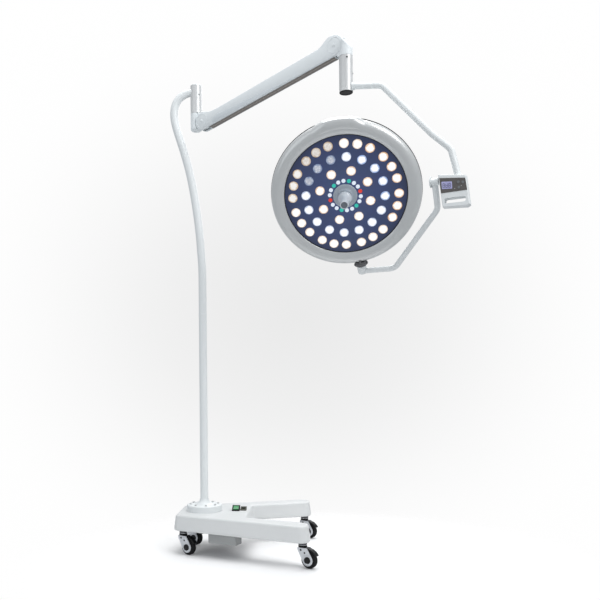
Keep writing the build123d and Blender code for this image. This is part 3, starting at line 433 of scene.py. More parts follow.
def plate(name, origin, xd, yd, zd, loops, z0, z1, bevel, mat, res=3, smooth=30):
    # flat body with rounded edges from closed outlines (mm); later loops are holes
    cu = bpy.data.curves.new(name, "CURVE")
    cu.dimensions = "2D"
    cu.fill_mode = "BOTH"
    cu.extrude = ((z1 - z0) / 2 - bevel) / 1000
    cu.bevel_depth = bevel / 1000
    cu.bevel_resolution = res
    cu.offset = -bevel / 1000
    for lp in loops:
        sp = cu.splines.new("POLY")
        sp.points.add(len(lp) - 1)
        for i, (x, y) in enumerate(lp):
            sp.points[i].co = (x / 1000, y / 1000, 0, 1)
        sp.use_cyclic_u = True
    tmp = bpy.data.objects.new(name + "_c", cu)
    bpy.context.scene.collection.objects.link(tmp)
    bpy.context.view_layer.update()
    dg = bpy.context.evaluated_depsgraph_get()
    me = bpy.data.meshes.new_from_object(tmp.evaluated_get(dg))
    bpy.data.objects.remove(tmp)
    me.name = name
    bm = bmesh.new()
    bm.from_mesh(me)
    bmesh.ops.remove_doubles(bm, verts=bm.verts, dist=1e-6)
    bmesh.ops.recalc_face_normals(bm, faces=bm.faces)
    bm.to_mesh(me)
    bm.free()
    mtx = Matrix((
        (xd.x, yd.x, zd.x, 0), (xd.y, yd.y, zd.y, 0), (xd.z, yd.z, zd.z, 0), (0, 0, 0, 1)))
    mtx.translation = origin + zd * ((z0 + z1) / 2000)
    me.transform(mtx)
    me.materials.clear()
    me.materials.append(mat)
    ob = bpy.data.objects.new(name, me)
    bpy.context.scene.collection.objects.link(ob)
    shade(ob, smooth)
    return ob


def circle_pts(r, n=40, cx=0, cy=0):
    return [(cx + r * math.cos(2 * math.pi * i / n), cy + r * math.sin(2 * math.pi * i / n)) for i in range(n)]


def merge(name, obs):
    bm = bmesh.new()
    mats = []
    for o in obs:
        base = len(bm.faces)
        bm.from_mesh(o.data)
        bm.faces.ensure_lookup_table()
        for i in range(base, len(bm.faces)):
            mt = o.data.materials[0]
            if mt not in mats:
                mats.append(mt)
            bm.faces[i].material_index = mats.index(mt)
    me = bpy.data.meshes.new(name)
    bm.to_mesh(me)
    bm.free()
    for mt in mats:
        me.materials.append(mt)
    for o in obs:
        bpy.data.objects.remove(o)
    ob = bpy.data.objects.new(name, me)
    bpy.context.scene.collection.objects.link(ob)
    shade(ob, 30)
    return ob


def put(ob, body, *replaced):
    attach(ob, body)
    if replaced:
        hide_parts(*replaced)
    return ob


# ------------------------------------------------------------------ CAD nodes that stay: finish and small edge rounding
CAD_MAT = {
    "base_plate": "chassis", "counterweight": "cast", "battery_pack": "black", "adapter_box": "grey",
    "switch_bezel": "black", "charge_socket": "socket", "pole_flange": "white", "flange_screws": "screwlight",
    "lower_pole": "white", "upper_pole": "white", "pole_spigot": "steel", "bearing_sleeve": "sleeve",
    "sleeve_cap": "white", "power_rocker": "green", "arm_turret": "arm", "arm_shell_near": "arm",
    "arm_shell_far": "arm", "arm_bottom_cover": "under", "lift_spring": "cast", "pivot_pins": "steel",
    "level_link": "steel", "outer_knuckle": "arm", "yoke_sleeve": "sleeve", "yoke_end_cap": "black",
    "yoke_tube": "white", "box_front": "white", "box_back": "white", "display_panel": "darkglass",
    "tilt_spindle": "steel", "key_power": "panelkey", "key_up": "panelkey", "key_down": "panelkey",
    "inner_arm_tube": "white", "tilt_cap": "white", "front_ring": "ring", "rim_seal": "seal",
    "rear_housing": "white", "rim_grip": "ring", "light_panel": "panel", "warm_lenses": "lens",
    "cool_lenses": "lens", "small_lenses": "lens", "led_board": "board", "heat_sink": "sink",
    "head_pivot_boot": "boot", "handle_base": "hbase", "sterile_handle": "handle", "base_cover": "base",
}
BEVEL = {"arm_turret": 1.0, "outer_knuckle": 4.0, "bearing_sleeve": 0.8,
         "yoke_sleeve": 0.8, "adapter_box": 1.0, "switch_bezel": 0.8, "charge_socket": 0.8, "display_panel": 0.4,
         "base_plate": 0.8, "battery_pack": 1.5, "counterweight": 1.5, "tilt_cap": 0.6, "level_link": 0.4}
for t in CASTORS:
    CAD_MAT["castor_fork_" + t] = "shield"
    CAD_MAT["castor_wheel_" + t] = "tyre"
    CAD_MAT["brake_pedal_" + t] = "black"
    BEVEL["castor_fork_" + t] = 0.6
    BEVEL["brake_pedal_" + t] = 1.2
for name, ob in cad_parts.items():
    ob.data.materials.clear()
    ob.data.materials.append(M[CAD_MAT[name]])
    shade(ob, 28)
    if name in BEVEL:
        md = ob.modifiers.new("edge", "BEVEL")
        md.width = BEVEL[name] / 1000
        md.segments = 3
        md.limit_method = "ANGLE"
        md.angle_limit = math.radians(40)
        md.harden_normals = True
        md.use_clamp_overlap = True

# ------------------------------------------------------------------ base cover: drafted wedge with a rolled top edge
K = math.tan(math.radians(21.5))
CC = math.cos(math.radians(21.5))


def wedge(d, z, tip=35, back=24, inner=16):
    wo = lambda x: 155.6 + x * K - d / CC
    wi = lambda x: 155.6 + x * K - 92.1 / CC + d / CC
    x0, x1, xn = -105 + d, 428 - d, 188 - d
    pts = [(x0, -wo(x0)), (x1, -wo(x1)), (x1, -wi(x1)), (xn, -wi(xn)), (xn, wi(xn)), (x1, wi(x1)), (x1, wo(x1)), (x0, wo(x0))]
    rr = [max(3, back - d), max(3, tip - d), max(3, tip - d), inner + d, inner + d, max(3, tip - d), max(3, tip - d), max(3, back - d)]
    return [W(x, y, z) for x, y in rounded(pts, rr, 8)]


rings = [wedge(7.0, 97.5), wedge(5.5, 95.3), wedge(2.0, 96.2), wedge(-0.4, 98.6), wedge(-1.6, 102.0), wedge(-1.8, 106.0)]
for k in range(1, 8):
    rings.append(wedge(-1.8 + 6.0 * k / 7, 106 + 43 * k / 7))
for k in range(1, 9):
    q = math.pi / 2 * k / 8
    rings.append(wedge(4.2 + 7.5 * (1 - math.cos(q)), 149 + 8 * math.sin(q)))
rings.append(wedge(18, 157.2))
v, f = join_rings([r for r in rings])
cover = make_obj("base_cover_shell", v, f, M["base"], 40)
put(cover, "base", "base_cover")

# raised rim line on the deck around the switch field
pad = plate("deck_pad", W(0, 0, 0), Vector((1, 0, 0)), Vector((0, 1, 0)), UP,
            [rounded([(98, -34), (178, -34), (178, 44), (98, 44)], 8, 5)], 157.0, 158.0, 0.45, M["base"], 2)
put(pad, "base")

# ------------------------------------------------------------------ castors
for t, (cx, cy) in CASTORS.items():
    hub = W(cx, cy, 31) + TD * 0.028
    prof = [(4.2, -12.0), (9, -12.0), (9.6, -11.2), (19, -10.4), (21, -9.6), (22, -9.8), (26.5, -9.8)]
    prof += [(31 - 5 * (1 - math.cos(q)) + 0.0, -4.8 - 5.0 * math.cos(math.pi / 2 - q)) for q in (1.4, 1.1, 0.8, 0.5, 0.25)]
    prof += [(31, -4.6), (31, -2.4), (30.2, -1.9), (30.2, 1.9), (31, 2.4), (31, 4.6)]
    prof += [(31 - 5 * (1 - math.cos(q)), 4.8 + 5.0 * math.cos(math.pi / 2 - q)) for q in (0.25, 0.5, 0.8, 1.1, 1.4)]
    prof += [(26.5, 9.8), (22, 9.8), (21, 9.6), (19, 10.4), (9.6, 11.2), (9, 12.0), (4.2, 12.0)]
    wh = lathe("tyre_" + t, prof, hub, AD, TD, M["tyre"], 72, closed=True, smooth=35)
    put(wh, "wheel_" + t, "castor_wheel_" + t)
    caps = []
    for s, nm in ((1, "n"), (-1, "f")):
        o = hub + AD * (s * 0.018)
        cap = lathe("cap", curve_prof([(0, 2.9), (6, 2.7), (10.4, 1.9), (12.2, 0.6), (12.4, -0.6)], 3) + [(12.4, -2.4), (0, -2.4)],
                    o, AD * s, TD, M["black"], 40, smooth=45)
        caps.append(cap)
        ro = W(cx, cy, 57) + TD * 0.0165 + AD * (s * 0.0155)
        caps.append(lathe("rv", curve_prof([(0, 1.6), (2.2, 1.3), (3.4, 0.2)], 3) + [(3.4, -0.6), (0, -0.6)], ro, AD * s, TD, M["black"], 24, smooth=45))
        ro = W(cx, cy, 66) + TD * 0.0005 + AD * (s * 0.0155)
        caps.append(lathe("rv", curve_prof([(0, 1.6), (2.6, 1.3), (3.8, 0.2)], 3) + [(3.8, -0.6), (0, -0.6)], ro, AD * s, TD, M["black"], 24, smooth=45))
    cp = merge("axle_caps_" + t, caps)
    put(cp, "castor_" + t)
    # pressed shield lip, both sides
    lips = []
    for s in (1, -1):
        outer = []
        for k in range(33):
            q = math.radians(-150 + 300 * k / 32)
            outer.append((28 + 20.2 * math.sin(q), 31 - 20.2 * math.cos(q)))
        lips.append(lathe("lp", [(17.6, 0.0), (18.4, 1.2), (19.6, 1.4), (20.6, 0.6), (20.6, -1.0), (17.6, -1.0)], hub + AD * (s * 0.0155), AD * s, TD, M["shield"], 64, closed=True))
    lp = merge("shield_lips_" + t, lips)
    put(lp, "castor_" + t)
    # neck collar at the socket
    nk = lathe("castor_neck_" + t, curve_prof([(15.6, 82.6), (16.2, 80.5), (16.3, 76.0), (15.2, 73.6)], 4) + [(6.2, 73.6), (6.2, 82.6)],
               W(cx, cy, 0), UP, TD, M["black"], 48, closed=True)
    put(nk, "castor_" + t)

# ------------------------------------------------------------------ adapter label plate and vents under the base stay plain
# ------------------------------------------------------------------ pole joint collar
col = lathe("pole_joint_collar", [(16.05, -9), (16.6, -8.2), (16.7, 0), (16.6, 0.4), (16.3, 0.6), (16.05, 0.6)], W(0, 0, 958), UP, Vector((1, 0, 0)), M["white"], 64, closed=True)
put(col, "base")

# ------------------------------------------------------------------ lamp head: ring, grip, panel trim, lenses, handle
RING_PROF = curve_prof([(208.3, -3.5), (208.6, 2.2), (212.0, 5.4), (221, 9.0), (232, 9.9), (242, 7.4), (250.0, 1.0), (254.2, -6.5), (255, -12.0)], 6)
ring = lathe("front_ring_shell", RING_PROF + [(254.6, -14.9), (236, -15.0), (207.8, -15.0), (207.8, -4.0)], C, TN, HX, M["ring"], 200, closed=True, smooth=40)
put(ring, "lamp_head", "front_ring")
bead = lathe("panel_bead", [(206.0, 0.3), (206.5, 1.3), (207.6, 1.8), (208.8, 1.2), (208.8, -0.6), (206.0, -0.6)], C, TN, HX, M["seal"], 200, closed=True)
put(bead, "lamp_head")


def grip_mesh():
    # moulded hand grip that swells out of the rim at the top
    rings = []
    base = curve_prof([(222, 5.0), (228, 9.4), (236, 9.8), (244, 7.0), (250.5, 0.8), (254.2, -6.5), (255, -13.0), (254.5, -19.0), (250, -23.0)], 5)
    n = 72
    for i in range(n + 1):
        s = i / n
        ang = math.radians(-17 + 43 * s)
        h = min(1, s / 0.34, (1 - s) / 0.24)
        h = h * h * (3 - 2 * h)
        out = []
        for k, (r, w) in enumerate(base):
            q = k / (len(base) - 1)
            prof = math.sin(math.pi * min(1, max(0, (q - 0.02) / 0.96))) ** 0.7
            nr = r + (9.6 * h * prof - 0.9 * (1 - h)) * (0.35 + 0.65 * min(1, max(0, (r - 222) / 30)))
            nw = w + 5.0 * h * prof * (1 if w > 0 else 0.1)
            out.append((nr, nw))
        inner = [(246, -22.6), (236, -8), (226, 2)]
        out += inner
        d = HX * math.sin(ang) + HY * math.cos(ang)
        rings.append([C + d * (r / 1000) + TN * (w / 1000) for r, w in out])
    v, f = join_rings(rings)
    return make_obj("rim_grip_pad", v, f, M["ring"], 50)


gp = grip_mesh()
put(gp, "lamp_head", "rim_grip")

seal = lathe("rim_seal_band", [(240, -15.1), (254.9, -15.1), (256.2, -16.2), (256.4, -18.4), (256.0, -20.6), (254.4, -21.4), (240, -21.4)], C, TN, HX, M["seal"], 200, closed=True)
put(seal, "lamp_head", "rim_seal")

rear = lathe("rear_housing_shell",
             curve_prof([(0, -75.5), (60, -74.0), (120, -69.5), (175, -60.0), (215, -48.5), (240, -36.5), (251, -26.5), (253.2, -21.6)], 7)
             + [(249.5, -21.6)] + curve_prof([(247.5, -26.0), (237, -34.5), (213, -45.8), (174, -57.0), (119, -66.5), (60, -71.0), (0, -72.5)], 5),
             C, TN, HX, M["white"], 160, smooth=40)
put(rear, "lamp_head", "rear_housing")
# three raised concentric ribs on the back of the housing
for k in range(3):
    r0 = 60 + 34 * k
    rib = lathe("rear_rib_%d" % k, [(r0, -70.0), (r0 + 1.4, -76.4 + 0.9 * k * k + 0.4 * k), (r0 + 4.2, -76.4 + 0.9 * k * k + 0.4 * k), (r0 + 5.6, -69.5)], C, TN, HX, M["white"], 120, closed=True)
    put(rib, "lamp_head")


def lens_group(name, pts, radius, dome, tints, lits, w0, full=0.0):
    verts, faces, uvs, tv, lv = [], [], [], [], []
    rr = [(0.0, dome), (0.3, dome * 0.93), (0.55, dome * 0.74), (0.75, dome * 0.48), (0.9, dome * 0.2), (1.0, 0.0), (1.0, -1.2)]
    seg = 36
    for (x, y), tn, lt in zip(pts, tints, lits):
        base = len(verts)
        verts.append(C + HX * (x / 1000) + HY * (y / 1000) + TN * ((w0 + dome) / 1000))
        uvs.append((0, 0))
        tv.append(tn)
        lv.append(lt)
        for q, (k, h) in enumerate(rr[1:]):
            for i in range(seg):
                a = 2 * math.pi * i / seg
                verts.append(C + HX * ((x + radius * k * math.cos(a)) / 1000) + HY * ((y + radius * k * math.sin(a)) / 1000) + TN * ((w0 + h) / 1000))
                uvs.append((k * math.cos(a), k * math.sin(a)))
                tv.append(tn)
                lv.append(lt)
        for i in range(seg):
            i2 = (i + 1) % seg
            faces.append((base, base + 1 + i, base + 1 + i2))
            for q in range(len(rr) - 2):
                a = base + 1 + q * seg
                b = a + seg
                faces.append((a + i, b + i, b + i2, a + i2))
        last = base + 1 + (len(rr) - 2) * seg
        faces.append(tuple(last + i for i in range(seg)))
    me = bpy.data.meshes.new(name)
    me.from_pydata([tuple(p) for p in verts], [], faces)
    uvl = me.uv_layers.new(name="lens")
    for lp in me.loops:
        uvl.data[lp.index].uv = uvs[lp.vertex_index]
    at = me.attributes.new("tint", "FLOAT_COLOR", "POINT")
    at.data.foreach_set("color", [c for t in tv for c in (*t, 1.0)])
    at = me.attributes.new("lit", "FLOAT", "POINT")
    at.data.foreach_set("value", lv)
    at = me.attributes.new("full", "FLOAT", "POINT")
    at.data.foreach_set("value", [full] * len(verts))
    me.materials.append(M["lens"])
    ob = bpy.data.objects.new(name, me)
    bpy.context.scene.collection.objects.link(ob)
    shade(ob, 50)
    return ob


def ringp(radius, angles):
    return [(radius * math.sin(math.radians(a)), radius * math.cos(math.radians(a))) for a in angles]


AMBER, BLUE = (0.90, 0.50, 0.24), (0.30, 0.48, 0.92)
outer_a = [23.4 + 45 * k + d for k in range(8) for d in (-14, 0, 14)]
inner_a = [23.6 + 45 * k for k in range(8)]
mid_a = [12.3 + 22.5 * k for k in range(16)]
small_a = [4.3 + 20 * k for k in range(18)]
R_OUT, R_MID, R_IN, R_SMALL = 179, 133.5, 87.5, 52.3


def wrap(a):
    return (a + 180) % 360 - 180


def soft(a, b, k):
    return tuple(x * (1 - k) + y * k for x, y in zip(a, b))


# the lamp is seen off its axis: the upper left lenses look dim, those on the right keep a wide
# coloured fringe and the ones at the bottom are almost white
def warm_look(a):
    a = wrap(a)
    if -88 < a < -3:
        return (0.88, 0.60, 0.36), 0.66 + (0.1 if a < -50 else 0.0)
    if 30 < a < 135:
        return AMBER, 0.95
    return soft(AMBER, (1, 0.97, 0.93), 0.55), 1.0


def cool_look(a):
    a = wrap(a)
    if -66 < a < -4:
        return (0.34, 0.50, 0.90), 0.56
    if 20 < a < 120:
        return BLUE, 0.92
    return soft(BLUE, (0.95, 0.97, 1), 0.5), 1.0


warm = ringp(R_OUT, outer_a) + ringp(R_IN, inner_a)
wl = [warm_look(a) for a in outer_a]
wl += [(soft(AMBER, (1, 0.95, 0.9), 0.25 if abs(wrap(a)) < 130 else 0.6), 0.97) for a in inner_a]
put(lens_group("warm_lens_domes", warm, 16.3, 1.6, [q[0] for q in wl], [q[1] for q in wl], 0.1), "lamp_head", "warm_lenses")
cl = [cool_look(a) for a in mid_a]
put(lens_group("cool_lens_domes", ringp(R_MID, mid_a), 15.6, 1.6, [q[0] for q in cl], [q[1] for q in cl], 0.1), "lamp_head", "cool_lenses")
WC, GC, RC = (0.80, 0.88, 1.0), (0.03, 0.62, 0.50), (0.85, 0.05, 0.03)
seq = "WGWWRWWGWWGWWRWWGW"
put(lens_group("small_lens_domes", ringp(R_SMALL, small_a), 6.8, 1.1, [{"W": WC, "G": GC, "R": RC}[c] for c in seq], [1.3 if c == "W" else 1.1 for c in seq], 0.1, 1.0), "lamp_head", "small_lenses")

# bezel rings around every lens
bez = []
for pts, rad in ((warm, 16.6), (ringp(R_MID, mid_a), 16.6), (ringp(R_SMALL, small_a), 8.0)):
    for x, y in pts:
        o = C + HX * (x / 1000) + HY * (y / 1000)
        bez.append(lathe("bz", [(rad - 0.8, 0.0), (rad - 0.4, 0.5), (rad + 0.2, 0.4), (rad + 0.6, -0.05), (rad - 0.8, -0.6)], o, TN, HX, M["panel"], 36 if rad > 10 else 24, closed=True))
bz = merge("lens_bezels", bez)
put(bz, "lamp_head")

hb = lathe("handle_base_ring",
           [(9.3, 0.2), (41, 0.2)] + curve_prof([(41.2, 1.0), (40.8, 3.4), (38.6, 5.2), (33, 6.2), (28.5, 7.0), (26.2, 10), (25.2, 15), (24.6, 18.6)], 4) + [(9.3, 18.6)],
           C, TN, HX, M["hbase"], 96, closed=True, smooth=40)
put(hb, "lamp_head", "handle_base")
hd = lathe("handle_grip",
           [(0, 0.6), (8.9, 0.6), (8.9, 19.0), (21, 19.2)] + curve_prof([(22.6, 20.6), (23.0, 24), (21.6, 29), (17.6, 35), (15.4, 41), (14.5, 50), (14.3, 66), (14.6, 84), (14.2, 88.2), (12.6, 90)], 5)
           + [(11.4, 90), (11.0, 88.2), (0, 88.2)],
           C, TN, HX, M["handle"], 72, smooth=35)
put(hd, "handle", "sterile_handle")
tipd = lathe("handle_tip_disc", [(0, 89.2), (6, 89.0), (10.6, 88.6), (10.8, 87.9), (0, 87.9)], C, TN, HX, M["tip"], 48)
put(tipd, "handle")

# ------------------------------------------------------------------ swept tubes of the yoke and the inner arm
def bend_path(pts, radius, n=10):
    # polyline with round bends
    P = [Vector(p) for p in pts]
    out = [P[0]]
    for i in range(1, len(P) - 1):
        u, v = (P[i - 1] - P[i]).normalized(), (P[i + 1] - P[i]).normalized()
        ang = u.angle(v)
        t = radius / math.tan(ang / 2)
        c = P[i] + (u + v).normalized() * (radius / math.sin(ang / 2))
        a, b = P[i] + u * t, P[i] + v * t
        ra, rb = a - c, b - c
        for k in range(n + 1):
            out.append(c + ra.slerp(rb, k / n).normalized() * radius)
    out.append(P[-1])
    return out


def tube(name, path, r, mat, seg=40, round_ends=0.0):
    n0 = (path[1] - path[0]).normalized()
    x = n0.orthogonal().normalized()
    rings = []
    for i, p in enumerate(path):
        if i == 0:
            t = n0
        elif i == len(path) - 1:
            t = (path[-1] - path[-2]).normalized()
        else:
            t = ((path[i + 1] - p).normalized() + (p - path[i - 1]).normalized()).normalized()
        x = (x - t * x.dot(t)).normalized()
        y = t.cross(x)
        rings.append([p + (x * math.cos(2 * math.pi * k / seg) + y * math.sin(2 * math.pi * k / seg)) * r for k in range(seg)])
    v, f = join_rings(rings)
    return make_obj(name, v, f, mat, 40)


def yk(x, y, z):
    return G + TA * (x / 1000) + UP * (y / 1000) + YZ * (z / 1000)


def ik(x, y):
    return G + TA * (x / 1000) + TB * (y / 1000)


def densify(path, step=0.012):
    out = [path[0]]
    for p in path[1:]:
        d = (p - out[-1]).length
        m = max(1, int(d / step))
        q = out[-1].copy()
        for k in range(1, m + 1):
            out.append(q.lerp(p, k / m))
    return out


yt = tube("yoke_tube_bent", densify(bend_path([yk(21.5, 360.9, 0), yk(124, 345.2, 0), yk(287, 156.5, 0), yk(347, 99, 0), yk(368.2, 9.5, 0)], 0.040)), 0.0106, M["white"])
ys = lathe("yoke_socket", [(0, 0), (13.2, 0), (13.2, 5.2), (12.6, 6.4), (10.4, 7.0), (0, 7.0)], yk(22.4, 360.8, 0), TA - UP * 0.153, UP, M["white"], 40)
yc = lathe("yoke_box_ferrule", [(0, 0), (12.4, 0), (12.8, 1.0), (12.8, 5.0), (12.0, 6.2), (10.5, 6.6), (0, 6.6)], yk(367.2, 8.6, 0), UP - TA * 0.23, TA, M["white"], 40)
put(merge("yoke_tube_shell", [yt, ys, yc]), "yoke", "yoke_tube")

it = tube("inner_tube_bent", densify(bend_path([ik(294.6, 8.5), ik(293, 94), ik(118, 297), ik(10, 297.9)], 0.040)), 0.0100, M["white"])
ib = lathe("inner_boss", [(6.3, 0), (11.4, 0), (12, 0.6), (12, 22.9), (11.4, 23.5), (6.3, 23.5)], yk(283.5, 0, 0), TA, UP, M["white"], 48, closed=True)
end = [(7.3, 0), (15.8, 0), (16.5, 0.7)] + [(16.5 - 9 * (1 - math.cos(math.pi / 2 * k / 8)), 23 + 9 * math.sin(math.pi / 2 * k / 8)) for k in range(9)] + [(0, 32), (0, 26), (7.3, 26)]
ie = lathe("inner_barrel", end, ik(0, 276), TB, TA, M["white"], 64)
put(merge("inner_arm_shell", [it, ib, ie]), "inner_arm", "inner_arm_tube")

# ------------------------------------------------------------------ spring arm: moulded side shells with the flared ear at the knuckle
def arm_outline():
    pts = []
    for k in range(0, 25):
        q = math.radians(270 - 195 * k / 24)
        pts.append((36 * math.cos(q), 36 * math.sin(q)))
    top = curve_prof([(9.3, 34.8), (28, 26.5), (50, 19.6), (80, 16.9), (118, 16.2), (316, 16.9), (560, 17.9), (588, 19.6), (604, 24.6), (618, 33.0),
                      (632, 38.0), (645, 38.6), (660, 35.0), (672.5, 28.8)], 6)
    pts += top[1:]
    for k in range(1, 25):
        q = math.radians(53 - 143 * k / 24)
        pts.append((LEN + 36 * math.cos(q), 36 * math.sin(q)))
    n = 40
    for k in range(1, n):
        pts.append((LEN - LEN * k / n, -36.0))
    return pts


def inset(pts, d):
    # outline moved inward; pts run clockwise
    out = []
    m = len(pts)
    for i in range(m):
        a, b = Vector(pts[i - 1]), Vector(pts[(i + 1) % m])
        t = (b - a).normalized()
        nrm = Vector((t.y, -t.x))
        out.append((pts[i][0] + nrm.x * d, pts[i][1] + nrm.y * d))
    return out


def ap(x, y, z):
    return PL + ED * (x / 1000) + EU * (y / 1000) + NEAR * (z / 1000)


OUTL = arm_outline()
for sgn, nm in ((1, "near"), (-1, "far")):
    stack = [(2.5, 16.4), (2.5, 9.9), (0.3, 9.9), (0, 10.2), (0, 15.6), (0.35, 17.1), (1.2, 18.3), (2.6, 19.0)]
    rr_ = [[ap(x, y, sgn * z) for x, y in inset(OUTL, d)] for d, z in stack]
    v, f = join_rings(rr_)
    side = make_obj("side", v, f, M["arm"], 40)
    extra = [side]
    # boss ring and pin head on both pivots
    for cx in (0, LEN):
        extra.append(lathe("boss", [(0, 18.7), (0, 20.6), (4.4, 20.6), (5.2, 20.2), (5.2, 19.3), (7.0, 19.2), (7.6, 18.7)], ap(cx, 0, 0), NEAR * sgn, ED, M["arm"], 48, smooth=40))
        extra.append(lathe("groove", [(25.2, 18.9), (25.6, 19.5), (26.4, 19.7), (27.2, 19.5), (27.6, 18.9)], ap(cx, 0, 0), NEAR * sgn, ED, M["arm"], 72, closed=True))
    # raised lower field of the cheek, in a darker copy of the arm paint: painted shade below the crease
    fld = [(92, -9.5), (168, -15.1), (300, -22.4), (420, -29.0), (500, -33.2), (60, -33.2), (52, -24), (64, -13)]
    fld = rounded(fld, [4, 20, 60, 60, 0.4, 6, 6, 6], 5)
    if sgn > 0:
        extra.append(plate("field", ap(0, 0, 0), ED, EU, NEAR, [fld], 18.4, 19.9, 0.6, M["arm2"], 2, 40))
    else:
        extra.append(plate("field", ap(0, 0, 0), ED, EU, NEAR, [fld], -19.9, -18.4, 0.6, M["arm2"], 2, 40))
    put(merge("arm_side_" + nm, extra), "spring_arm", "arm_shell_" + nm)
# spine along the top and floor strip between the two shells
tl = [p for p in OUTL if 52 < p[0] < 600 and p[1] > 10]
spine = [(x, y - 0.25) for x, y in tl] + [(x, y - 3.0) for x, y in tl[::-1]]
rr_ = [[ap(x, y, z) for x, y in spine] for z in (-10.6, -0.4)]
v, f = join_rings(rr_)
s1 = make_obj("spa", v, f, M["arm"], 40)
rr_ = [[ap(x, y, z) for x, y in spine] for z in (0.4, 10.6)]
v, f = join_rings(rr_)
s2 = make_obj("spb", v, f, M["arm"], 40)
put(merge("arm_spine", [s1, s2]), "spring_arm")
# the underside strip takes the darker copy of the arm paint: painted shade on the face turned down
under = plate("arm_underside_strip", ap(0, 0, 0), ED, NEAR, -EU, [rounded([(26, -17.2), (LEN - 8, -17.2), (LEN - 8, 17.2), (26, 17.2)], 4, 5)], 34.2, 36.4, 0.5, M["arm2"], 2)
lip_a = plate("lipa", ap(0, 0, 0), ED, NEAR, -EU, [rounded([(30, 2.5), (LEN - 10, 2.5), (LEN - 10, 12.5), (30, 12.5)], 3, 5)], 35.5, 37.9, 0.6, M["under"], 2)
lip_b = plate("lipb", ap(0, 0, 0), ED, NEAR, -EU, [rounded([(30, -12.5), (LEN - 10, -12.5), (LEN - 10, -2.5), (30, -2.5)], 3, 5)], 35.5, 37.9, 0.6, M["under"], 2)
mid_l = plate("lipc", ap(0, 0, 0), ED, NEAR, -EU, [[(32, -2.9), (LEN - 12, -2.9), (LEN - 12, 2.9), (32, 2.9)]], 35.5, 37.0, 0.3, M["under2"], 2)
put(merge("arm_underside_trim", [under, lip_a, lip_b, mid_l]), "spring_arm", "arm_bottom_cover")

# ------------------------------------------------------------------ control box trim
lcd = plate("lcd_glass", yk(0, 0, 0), TA, UP, YZ, [rounded([(319.5, -7), (352, -10), (353.5, -33), (321, -31)], 1.5, 4)], 17.5, 18.3, 0.3, M["lcd"], 2)
put(lcd, "yoke")
seg = []
for i, x0 in enumerate((324, 333, 342)):
    for (a, b, c, d) in ((0, 0, 5.4, 1.2), (0, 6.4, 5.4, 1.2), (0, 12.8, 5.4, 1.2), (-0.4, 0.8, 1.2, 12.4), (4.8, 0.8, 1.2, 12.4)):
        if i == 1 and a == 0 and b == 12.8:
            continue
        x1, y1 = x0 + a, -27.5 + b - 0.05 * (x0 - 320)
        seg.append(plate("sg", yk(0, 0, 0), TA, UP, YZ, [[(x1, y1), (x1 + c, y1), (x1 + c, y1 + d), (x1, y1 + d)]], 18.25, 18.6, 0.05, M["lcdink"], 1))
sg = merge("lcd_digits", seg)
put(sg, "yoke")
marks = []
for (x1, y1) in ((360.5, -34), (381, -27)):
    marks.append(lathe("mk", [(0, 18.1), (1.0, 18.0), (1.2, 17.6), (0, 17.6)], yk(x1, y1, 0), YZ, TA, M["mark"], 16))
mk = merge("panel_marks", marks)
put(mk, "yoke")

# yoke sleeve with its dark end cap
z0 = W(565.8, -430.4, 0)
e0 = lathe("yoke_sleeve_shell", [(10.4, 1792.9), (22.8, 1792.9), (23.25, 1792.3), (23.25, 1671.8), (22.8, 1671.1), (17.2, 1671.1), (17.2, 1681.0), (10.4, 1681.0)], z0, UP, TA, M["sleeve"], 96, closed=True)
put(e0, "yoke", "yoke_sleeve")
e1 = lathe("yoke_cap_shell", [(0, 1674.0), (16.9, 1674.0), (16.9, 1671.0), (22.4, 1671.0), (22.9, 1670.4), (22.9, 1668.9), (21.8, 1667.8), (19.6, 1667.6), (18.8, 1668.2), (0, 1668.4)], z0, UP, TA, M["black"], 72)
put(e1, "yoke", "yoke_end_cap")

# wider boot cup under the rim
bt = lathe("boot_cup", [(8, 0.5), (18, 0.2)] + curve_prof([(22.5, 1.2), (24.4, 4.0), (24.6, 7.0), (22.6, 9.2), (19.0, 10.4)], 4) + [(8, 10.6)], ik(0, 262.4), TB, TA, M["boot"], 64, closed=True)
put(bt, "lamp_head")

# screws on the sleeves and plugs in the pole flange
def screw(name, origin, normal, body, r=3.6, mat="black"):
    n = unit(normal)
    x = n.orthogonal().normalized()
    ob = lathe(name, [(0, 0.2), (1.5, 0.2), (1.6, 1.3), (r - 0.6, 1.5), (r, 0.8), (r, -1.0), (0, -1.0)], origin, n, x, M[mat], 24, smooth=40)
    put(ob, body)


TOV = Vector((0.13, -0.99, 0)).normalized()
screw("sleeve_screw_a", W(-19.4, 0, 1848) + Vector((0.62, -0.78, 0)).normalized() * 0.0232, (0.62, -0.78, 0), "base", 3.2, "grey")
screw("yoke_screw_a", W(565.8, -430.4, 1783) + Vector((0.131, -0.991, 0)).normalized() * 0.0232, (0.131, -0.991, 0), "yoke", 3.0, "black")
screw("yoke_screw_b", W(565.8, -430.4, 1733) + Vector((0.99, -0.14, 0)).normalized() * 0.0232, (0.99, -0.14, 0), "yoke", 3.0, "grey")
for qa in (150, 240):
    o = W(56 * math.cos(math.radians(qa)), 56 * math.sin(math.radians(qa)), 184.6)
    screw("flange_plug_%d" % qa, o, (0, 0, 1), "base", 4.4, "black")

